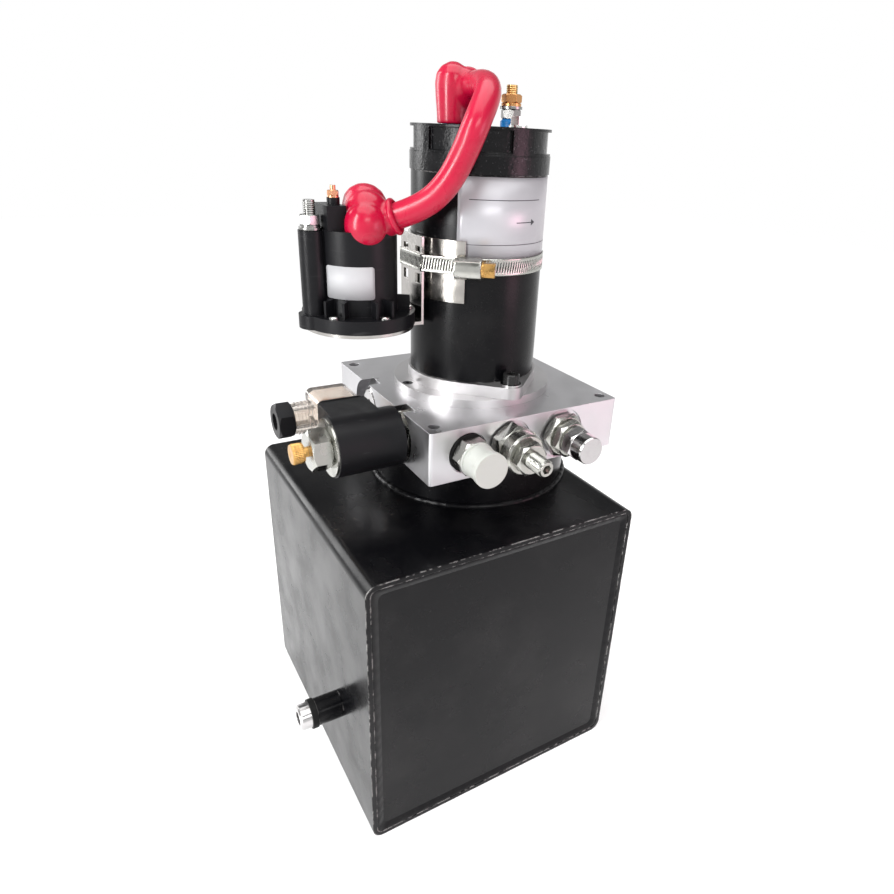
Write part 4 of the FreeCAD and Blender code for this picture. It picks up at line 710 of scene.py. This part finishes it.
def make_band():
    band_low = span("clamp_band")[0].z + BAND_INSET
    line = resample(band_line(), BAND_PITCH)
    count = len(line) // 4 * 4
    line = resample(band_line(), BAND_PITCH * len(line) / count)
    total = len(line)
    points = []
    for level in BAND_LEVELS:
        shift = (level - BAND_MIDDLE) * SLOT_LEAN / BAND_PITCH
        whole = math.floor(shift)
        part = shift - whole
        edge = BAND_RIM if level in (BAND_LEVELS[0], BAND_LEVELS[-1]) else 0.0
        for index in range(total):
            a = line[(index + whole) % total]
            b = line[(index + whole + 1) % total]
            spot = a + (b - a) * part
            spot = spot * (1 + edge / spot.length * 0.4)
            across, back = MOTOR_AXIS.x + spot.x * MM, MOTOR_AXIS.y + spot.y * MM
            points.append(Vector((across, back, band_low + level * MM)))
    faces = []
    for level in range(len(BAND_LEVELS) - 1):
        for index in range(total):
            if level == SLOT_LEVEL and index % 4 in (0, 1):
                continue
            along = (index + 1) % total
            faces.append((
                level * total + index, level * total + along,
                (level + 1) * total + along, (level + 1) * total + index,
            ))
    mesh = mesh_of("perforated_band", points, faces)
    item = piece("perforated_band", mesh, ZINC, sharp=50)
    thick = item.modifiers.new("thick", "SOLIDIFY")
    thick.thickness = BAND_THICK
    thick.offset = 1
    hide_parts("clamp_band")


def make_clamp_housing():
    out = Vector((math.cos(HOUSING_TURN), math.sin(HOUSING_TURN), 0))
    along = Vector((-math.sin(HOUSING_TURN), math.cos(HOUSING_TURN), 0))
    axis = Vector((MOTOR_AXIS.x, MOTOR_AXIS.y, centre("clamp_band").z))
    middle = axis + out * HOUSING_OUT
    rings = []
    for offset, grow in HOUSING_STATIONS:
        ring = []
        for reach, rise in HOUSING_OUTLINE:
            spot = middle + along * offset * MM + out * reach * grow * MM
            ring.append(spot + UP * (rise * grow * MM))
        rings.append(ring)
    points, faces = skin(rings)
    item = piece("worm_housing", mesh_of("worm_housing", points, faces), ZINC)
    round_edges = item.modifiers.new("edges", "BEVEL")
    round_edges.width = 0.35 * MM
    round_edges.segments = 3
    round_edges.limit_method = "ANGLE"
    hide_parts("clamp_band")


# ------------------------------------------------------------------ welds


NECK_BEAD = 2.1 * MM
NECK_BEAD_OUT = 0.8 * MM
NECK_BEAD_STEPS = 420
# the rim weld's section as (distance in from the tank's edge, depth below its face)
RIM_SECTION = ((3.05, 1.5), (3.05, 0.25), (3.9, 0.15), (5.2, 0.45), (6.6, 1.1), (7.6, 1.5))
RIM_CORNER = 3.6 * MM
RIM_STEPS = 118


def ripple(phase, size):
    """The uneven swell of a hand-made weld."""
    return size * (0.6 * math.sin(phase) + 0.4 * math.sin(2.7 * phase + 1.3))


def bead_along(name, path, normals, width):
    """A rippled weld bead swept along a closed path."""
    rings = []
    sections = 10
    for index, (spot, normal) in enumerate(zip(path, normals)):
        ahead = path[(index + 1) % len(path)]
        behind = path[index - 1]
        forward = (ahead - behind).normalized()
        side = forward.cross(normal).normalized()
        size = width * (1 + ripple(index * 0.9, 0.10))
        ring = []
        for step in range(sections):
            turn = 2 * math.pi * step / sections
            ring.append(spot + side * math.cos(turn) * size + normal * math.sin(turn) * size * 0.8)
        rings.append(ring)
    rings.append(rings[0])
    points, faces = skin(rings, capped=False)
    mesh = mesh_of(name, points, faces)
    return piece(name, mesh, WELD, sharp=60)


def make_welds():
    radius = span("tank_bosses")[1].x - MOTOR_AXIS.x
    foot = Vector((MOTOR_AXIS.x, MOTOR_AXIS.y, TANK_HIGH.z))
    path = []
    normals = []
    for step in range(NECK_BEAD_STEPS):
        turn = 2 * math.pi * step / NECK_BEAD_STEPS
        out = Vector((math.cos(turn), math.sin(turn), 0))
        path.append(foot + out * (radius + NECK_BEAD_OUT) + UP * NECK_BEAD_OUT)
        normals.append((out + UP).normalized())
    beads = [bead_along("neck_weld", path, normals, NECK_BEAD)]
    beads.append(rim_weld("front_weld", TANK_LOW.y, -1))
    beads.append(rim_weld("back_weld", TANK_HIGH.y, 1))
    for bead in beads:
        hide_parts("tank_welds")


def rim_weld(name, face, outward):
    """A low weld that fills the step between the tank's wrap and its end plate."""
    middle = (TANK_LOW + TANK_HIGH) / 2
    rings = []
    for inset, depth in RIM_SECTION:
        half_x = (TANK_HIGH.x - TANK_LOW.x) / 2 - inset * MM
        half_z = (TANK_HIGH.z - TANK_LOW.z) / 2 - inset * MM
        path = rounded_rectangle(half_x, half_z, RIM_CORNER, RIM_STEPS)
        ring = []
        for index, (x, z) in enumerate(path):
            wave = ripple(index * 1.1, 0.12) if 0.1 < depth < 1.2 else 0
            y = face - outward * (depth + wave) * MM
            ring.append(Vector((middle.x + x, y, middle.z + z)))
        rings.append(ring)
    points, faces = skin(rings, capped=False)
    return piece(name, mesh_of(name, points, faces), WELD, sharp=70)


def rounded_rectangle(half_x, half_z, corner, steps):
    """Points round a rectangle, with the same number along each side."""
    points = []
    centres = ((1, 1, 0), (-1, 1, 90), (-1, -1, 180), (1, -1, 270))
    for index, (sx, sz, start) in enumerate(centres):
        cx, cz = sx * (half_x - corner), sz * (half_z - corner)
        for step in range(7):
            turn = math.radians(start + 90 * step / 6)
            points.append((cx + corner * math.cos(turn), cz + corner * math.sin(turn)))
        nx, nz, next_start = centres[(index + 1) % 4]
        end_x, end_z = points[-1]
        turn = math.radians(next_start)
        run_x = nx * (half_x - corner) + corner * math.cos(turn) - end_x
        run_z = nz * (half_z - corner) + corner * math.sin(turn) - end_z
        for step in range(1, steps):
            part = step / steps
            points.append((end_x + run_x * part, end_z + run_z * part))
    return points


# ------------------------------------------------------------------ threads, knob, washers


FLOW_RADIUS, FLOW_DEPTH, FLOW_PITCH = 5.22 * MM, 0.55 * MM, 1.25 * MM
STUD_RADIUS, STUD_DEPTH, STUD_PITCH = 3.3 * MM, 0.4 * MM, 1.0 * MM
KNOB_HEAD = 7 * MM
KNOB_RIDGES = 36
KNURL_DEEP = 0.35 * MM
FLANGE_BOLT_CIRCLE = 46.9 * MM
WASHER_LIFT = 0.02 * MM
WASHER = ((5.2, 0), (6.5, 0), (6.55, 0.3), (6.5, 1.15), (5.2, 1.3))


def make_flow_screw():
    low, high = span("flow_screw")
    origin = Vector(((low.x + high.x) / 2, high.y, (low.z + high.z) / 2))
    length = high.y - low.y
    aim = (0, -1, 0)
    tip = [(2.4 * MM, 0), (4.4 * MM, 4 * MM)]
    body = thread_profile(FLOW_RADIUS, 4.6 * MM, length - 1.6 * MM, FLOW_PITCH)
    end = [(4.5 * MM, length - 0.7 * MM)]
    thread = ridged_thread(FLOW_RADIUS, FLOW_DEPTH, FLOW_PITCH)
    rings = around(origin, aim, tip + body + end, 48, thread)
    rings += socket_end(origin, aim, 4.2 * MM, 5 * MM, 5 * MM, length - 0.3 * MM)
    name = "threaded_flow_screw"
    points, faces = skin(rings)
    item = piece(name, mesh_of(name, points, faces), ZINC, "flow_adjuster", 40)
    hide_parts("flow_screw")


def make_stud_threads():
    bare = Vector((MOTOR_AXIS.x, MOTOR_AXIS.y, 0)) + STUD_ARM
    ends = (
        ("motor_stud_thread", bare, CAP_TOP + 17 * MM, CAP_TOP + 21.6 * MM),
        ("supply_stud_thread", SUPPLY_STUD, CASE_TOP + 7.4 * MM, CASE_TOP + 14.9 * MM),
    )
    thread = ridged_thread(STUD_RADIUS, STUD_DEPTH, STUD_PITCH)
    for name, spot, low, high in ends:
        tall = high - low
        profile = thread_profile(STUD_RADIUS, 0, tall - 0.7 * MM, STUD_PITCH)
        profile.append((2.5 * MM, tall))
        points, faces = skin(around(spot + UP * low, UP, profile, 32, thread))
        metal = SPECIAL["terminal_studs"]
        piece(name, mesh_of(name, points, faces), metal, sharp=40)


def make_knob():
    low, high = span("override_knob")
    origin = Vector((high.x, (low.y + high.y) / 2, (low.z + high.z) / 2))
    length = high.x - low.x
    radius = (high.z - low.z) / 2
    start = length - KNOB_HEAD

    def knurl(base, along, turn):
        if base < radius * 0.9:
            return base
        fall = min(1.0, (along - start) / (1.0 * MM), (length - along) / (1.0 * MM))
        ridge = 0.5 + 0.5 * math.cos(KNOB_RIDGES * turn)
        return base - KNURL_DEEP * max(0.0, fall) * ridge

    profile = [
        (3.0 * MM, 0), (3.0 * MM, start), (radius * 0.93, start), (radius, start + 0.5 * MM),
        (radius, start + 1.4 * MM), (radius, length - 1.6 * MM), (radius, length - 0.9 * MM),
        (radius * 0.93, length - 0.2 * MM), (radius * 0.5, length),
        (radius * 0.2, length - 0.4 * MM),
    ]
    points, faces = skin(around(origin, (-1, 0, 0), profile, 288, knurl))
    mesh = mesh_of("knurled_knob", points, faces)
    brass = FINISH["yellow_zinc"]
    item = piece("knurled_knob", mesh, brass, "override", 50)
    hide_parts("override_knob")


def make_flange_washers():
    profile = [(radius * MM, rise * MM) for radius, rise in WASHER]
    for side, name in ((-1, "front_bolt_washer"), (1, "rear_bolt_washer")):
        back = MOTOR_AXIS.y + side * FLANGE_BOLT_CIRCLE
        origin = Vector((MOTOR_AXIS.x, back, TUBE_BOTTOM + WASHER_LIFT))
        lathe(name, origin, UP, profile, FINISH["bright_steel"])


# ------------------------------------------------------------------ label marks


# labels and marks lie on upright cylinders: angles in degrees, heights in millimetres
LABEL_THICK = 0.09 * MM
INK_THICK = 0.06
MOTOR_FILM = 40.13
CASE_FILM = 22.2
RULES = (
    ("plate_rule_top", -128, -62, 366.2, 366.6),
    ("plate_rule_low", -134, -12, 342.6, 342.9),
    ("arrow_shaft", -88, -72, 354.4, 354.9),
)
ARROW_MIDDLE = 354.65
ARROW_START = -72


def on_cylinder(spot, radius, turn, level):
    across, back = radius * MM * math.cos(turn), radius * MM * math.sin(turn)
    return Vector((spot.x + across, spot.y + back, level * MM))


def curved_patch(name, radius, first, last, low, high, spot):
    """A thin printed patch between two angles and two heights."""
    steps = max(2, int(abs(last - first) / 1.5))
    outer = radius + INK_THICK
    rings = []
    for level, reach in ((low, radius), (low, outer), (high, outer), (high, radius)):
        ring = []
        for step in range(steps + 1):
            turn = math.radians(first + (last - first) * step / steps)
            ring.append(on_cylinder(spot, reach, turn, level))
        rings.append(ring)
    points, faces = skin(rings, closed=False, capped=False)
    return piece(name, mesh_of(name, points, faces), INK)


def rounded_label(name, radius, first, last, low, high, corner, spot, surface):
    """A printed label wrapped on an upright cylinder, its four corners rounded."""
    wide = math.radians(last - first) * radius
    count = 90
    points = []
    for step in range(count + 1):
        part = (1 - math.cos(math.pi * step / count)) / 2
        turn = math.radians(first) + math.radians(last - first) * part
        edge = min(part * wide, (1 - part) * wide)
        fall = corner - math.sqrt(corner ** 2 - (corner - edge) ** 2) if edge < corner else 0
        for level in (low + fall, high - fall):
            points.append(on_cylinder(spot, radius, turn, level))
    faces = [(2 * step, 2 * step + 2, 2 * step + 3, 2 * step + 1) for step in range(count)]
    item = piece(name, mesh_of(name, points, faces), surface, sharp=180)
    thick = item.modifiers.new("thick", "SOLIDIFY")
    thick.thickness = LABEL_THICK
    thick.offset = -1
    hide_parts("name_plates")


def make_labels():
    case = Vector((CASE_AXIS, MOTOR_AXIS.y, 0))
    film = FINISH["label"]
    rounded_label("motor_label", MOTOR_FILM, -137, -8, 331, 378, 2.5, MOTOR_AXIS, film)
    rounded_label("contactor_label", CASE_FILM, -160, -88, 314, 331.5, 1.6, case, TAG)


def make_label_marks():
    for name, first, last, low, high in RULES:
        curved_patch(name, MOTOR_FILM, first, last, low, high, MOTOR_AXIS)
    for step in range(4):
        name = "arrow_head_%d" % step
        first = ARROW_START + step
        reach = 1.6 - 0.4 * step
        low, high = ARROW_MIDDLE - reach, ARROW_MIDDLE + reach
        curved_patch(name, MOTOR_FILM, first, first + 1, low, high, MOTOR_AXIS)


# ------------------------------------------------------------------ camera and light


# the photograph's view: where from, its turn, tilt and roll in degrees, and its focal ratio
CAMERA_PLACE = (-0.1890, -0.3539, 0.3994)
CAMERA_ANGLES = (-32.654, 25.191, 3.008)
CAMERA_SENSOR = 36
CAMERA_FOCAL = 0.7505
CAMERA_SHIFT = (-0.0436, 0.0017)
STUDIO_MIDDLE = (0.0, 0.0, 0.26)
# name, place, target, width, height, power, colour
LIGHTS = (
    ("top", (0.1, -0.1, 2.4), (0, 0, 0), 2.6, 2.6, 66, (1, 1, 1)),
    ("key", (-1.30, -0.35, 0.70), STUDIO_MIDDLE, 0.28, 1.5, 30, (1, 1, 1)),
    ("front", (-0.2, -1.7, 1.2), STUDIO_MIDDLE, 0.9, 0.5, 10, (1, 1, 1)),
    ("rear", (-0.9, 1.3, 0.8), STUDIO_MIDDLE, 0.5, 1.2, 14, (1, 1, 1)),
    ("rose", (0.95, -1.25, 0.30), STUDIO_MIDDLE, 0.6, 0.7, 6, (1.0, 0.50, 0.66)),
)
FLOOR_HALF = 3.0
FLOOR_DROP = 0.0004
FADE_START, FADE_END = 0.25, 1.0


def make_camera():
    camera = bpy.data.cameras.new("camera")
    camera.sensor_width = CAMERA_SENSOR
    camera.lens = CAMERA_SENSOR * CAMERA_FOCAL
    camera.shift_x, camera.shift_y = CAMERA_SHIFT
    camera.clip_start = 0.01
    item = bpy.data.objects.new("camera", camera)
    turn, tilt, roll = (math.radians(angle) for angle in CAMERA_ANGLES)
    flat = math.cos(tilt)
    forward = Vector((-math.sin(turn) * flat, math.cos(turn) * flat, -math.sin(tilt)))
    item.rotation_mode = "QUATERNION"
    item.rotation_quaternion = forward.to_track_quat("-Z", "Y") @ Quaternion((0, 0, 1), roll)
    item.location = CAMERA_PLACE
    bpy.context.scene.collection.objects.link(item)
    bpy.context.scene.camera = item


def soft_box(name, place, target, wide, tall, power, colour):
    light = bpy.data.lights.new(name, "AREA")
    light.shape = "RECTANGLE"
    light.size = wide
    light.size_y = tall
    light.energy = power
    light.color = colour
    item = bpy.data.objects.new(name, light)
    item.location = place
    aim = Vector(target) - Vector(place)
    item.rotation_mode = "QUATERNION"
    item.rotation_quaternion = aim.to_track_quat("-Z", "Y")
    bpy.context.scene.collection.objects.link(item)


def make_world():
    """White round the horizon and below, dimmer overhead, so that dark paint stays dark."""
    world = bpy.data.worlds.new("studio")
    world.use_nodes = True
    tree = world.node_tree
    background = tree.nodes["Background"]
    way = tree.nodes.new("ShaderNodeTexCoord")
    parts = tree.nodes.new("ShaderNodeSeparateXYZ")
    ramp = tree.nodes.new("ShaderNodeMapRange")
    ramp.interpolation_type = "SMOOTHSTEP"
    ramp.inputs["From Min"].default_value = 0.21
    ramp.inputs["From Max"].default_value = 0.36
    ramp.inputs["To Min"].default_value = 1.0
    ramp.inputs["To Max"].default_value = 0.28
    tree.links.new(way.outputs["Generated"], parts.inputs[0])
    tree.links.new(parts.outputs["Z"], ramp.inputs["Value"])
    background.inputs["Color"].default_value = (1, 1, 1, 1)
    tree.links.new(ramp.outputs["Result"], background.inputs["Strength"])
    bpy.context.scene.world = world


def make_floor():
    """A pale floor that fades into the white of the backdrop: it glows with painted light, faintly
    under the unit and at full white a metre out, while its own colour fades to black.
    """
    half = FLOOR_HALF
    corners = [(-half, -half, 0), (half, -half, 0), (half, half, 0), (-half, half, 0)]
    floor = bpy.data.objects.new("floor", mesh_of("floor", corners, [(0, 1, 2, 3)]))
    floor.location.z = -FLOOR_DROP
    pale = Surface("pale_floor", (0.86, 0.86, 0.86), 0.75).shine(0.1)
    reach = pale.add("ShaderNodeVectorMath", operation="LENGTH")
    pale.join(pale.place, reach.inputs[0])
    fade = pale.span(reach.outputs["Value"], FADE_START, FADE_END, 0, 1)
    pale.tint(pale.span(pale.noise(3, 2), 0.4, 0.6, 0, 0.1), (0.84, 0.84, 0.84))
    pale.tint(fade, (0, 0, 0))
    pale.shader.inputs["Emission Color"].default_value = (1, 1, 1, 1)
    # painted glow: the floor emits light, from 0.12 under the unit to 1.0 at the outer end of the
    # fade
    glow = pale.span(reach.outputs["Value"], FADE_START, FADE_END, 0.12, 1.0)
    pale.join(glow, pale.shader.inputs["Emission Strength"])
    floor.data.materials.append(pale.material)
    bpy.context.scene.collection.objects.link(floor)


def make_studio():
    make_world()
    make_floor()
    for light in LIGHTS:
        soft_box(*light)


dress_frame()
make_lead()
make_boots()
make_band()
make_clamp_housing()
make_welds()
make_flow_screw()
make_stud_threads()
make_knob()
make_flange_washers()
make_labels()
make_label_marks()
make_camera()
make_studio()
bpy.context.scene.view_settings.view_transform = "Standard"
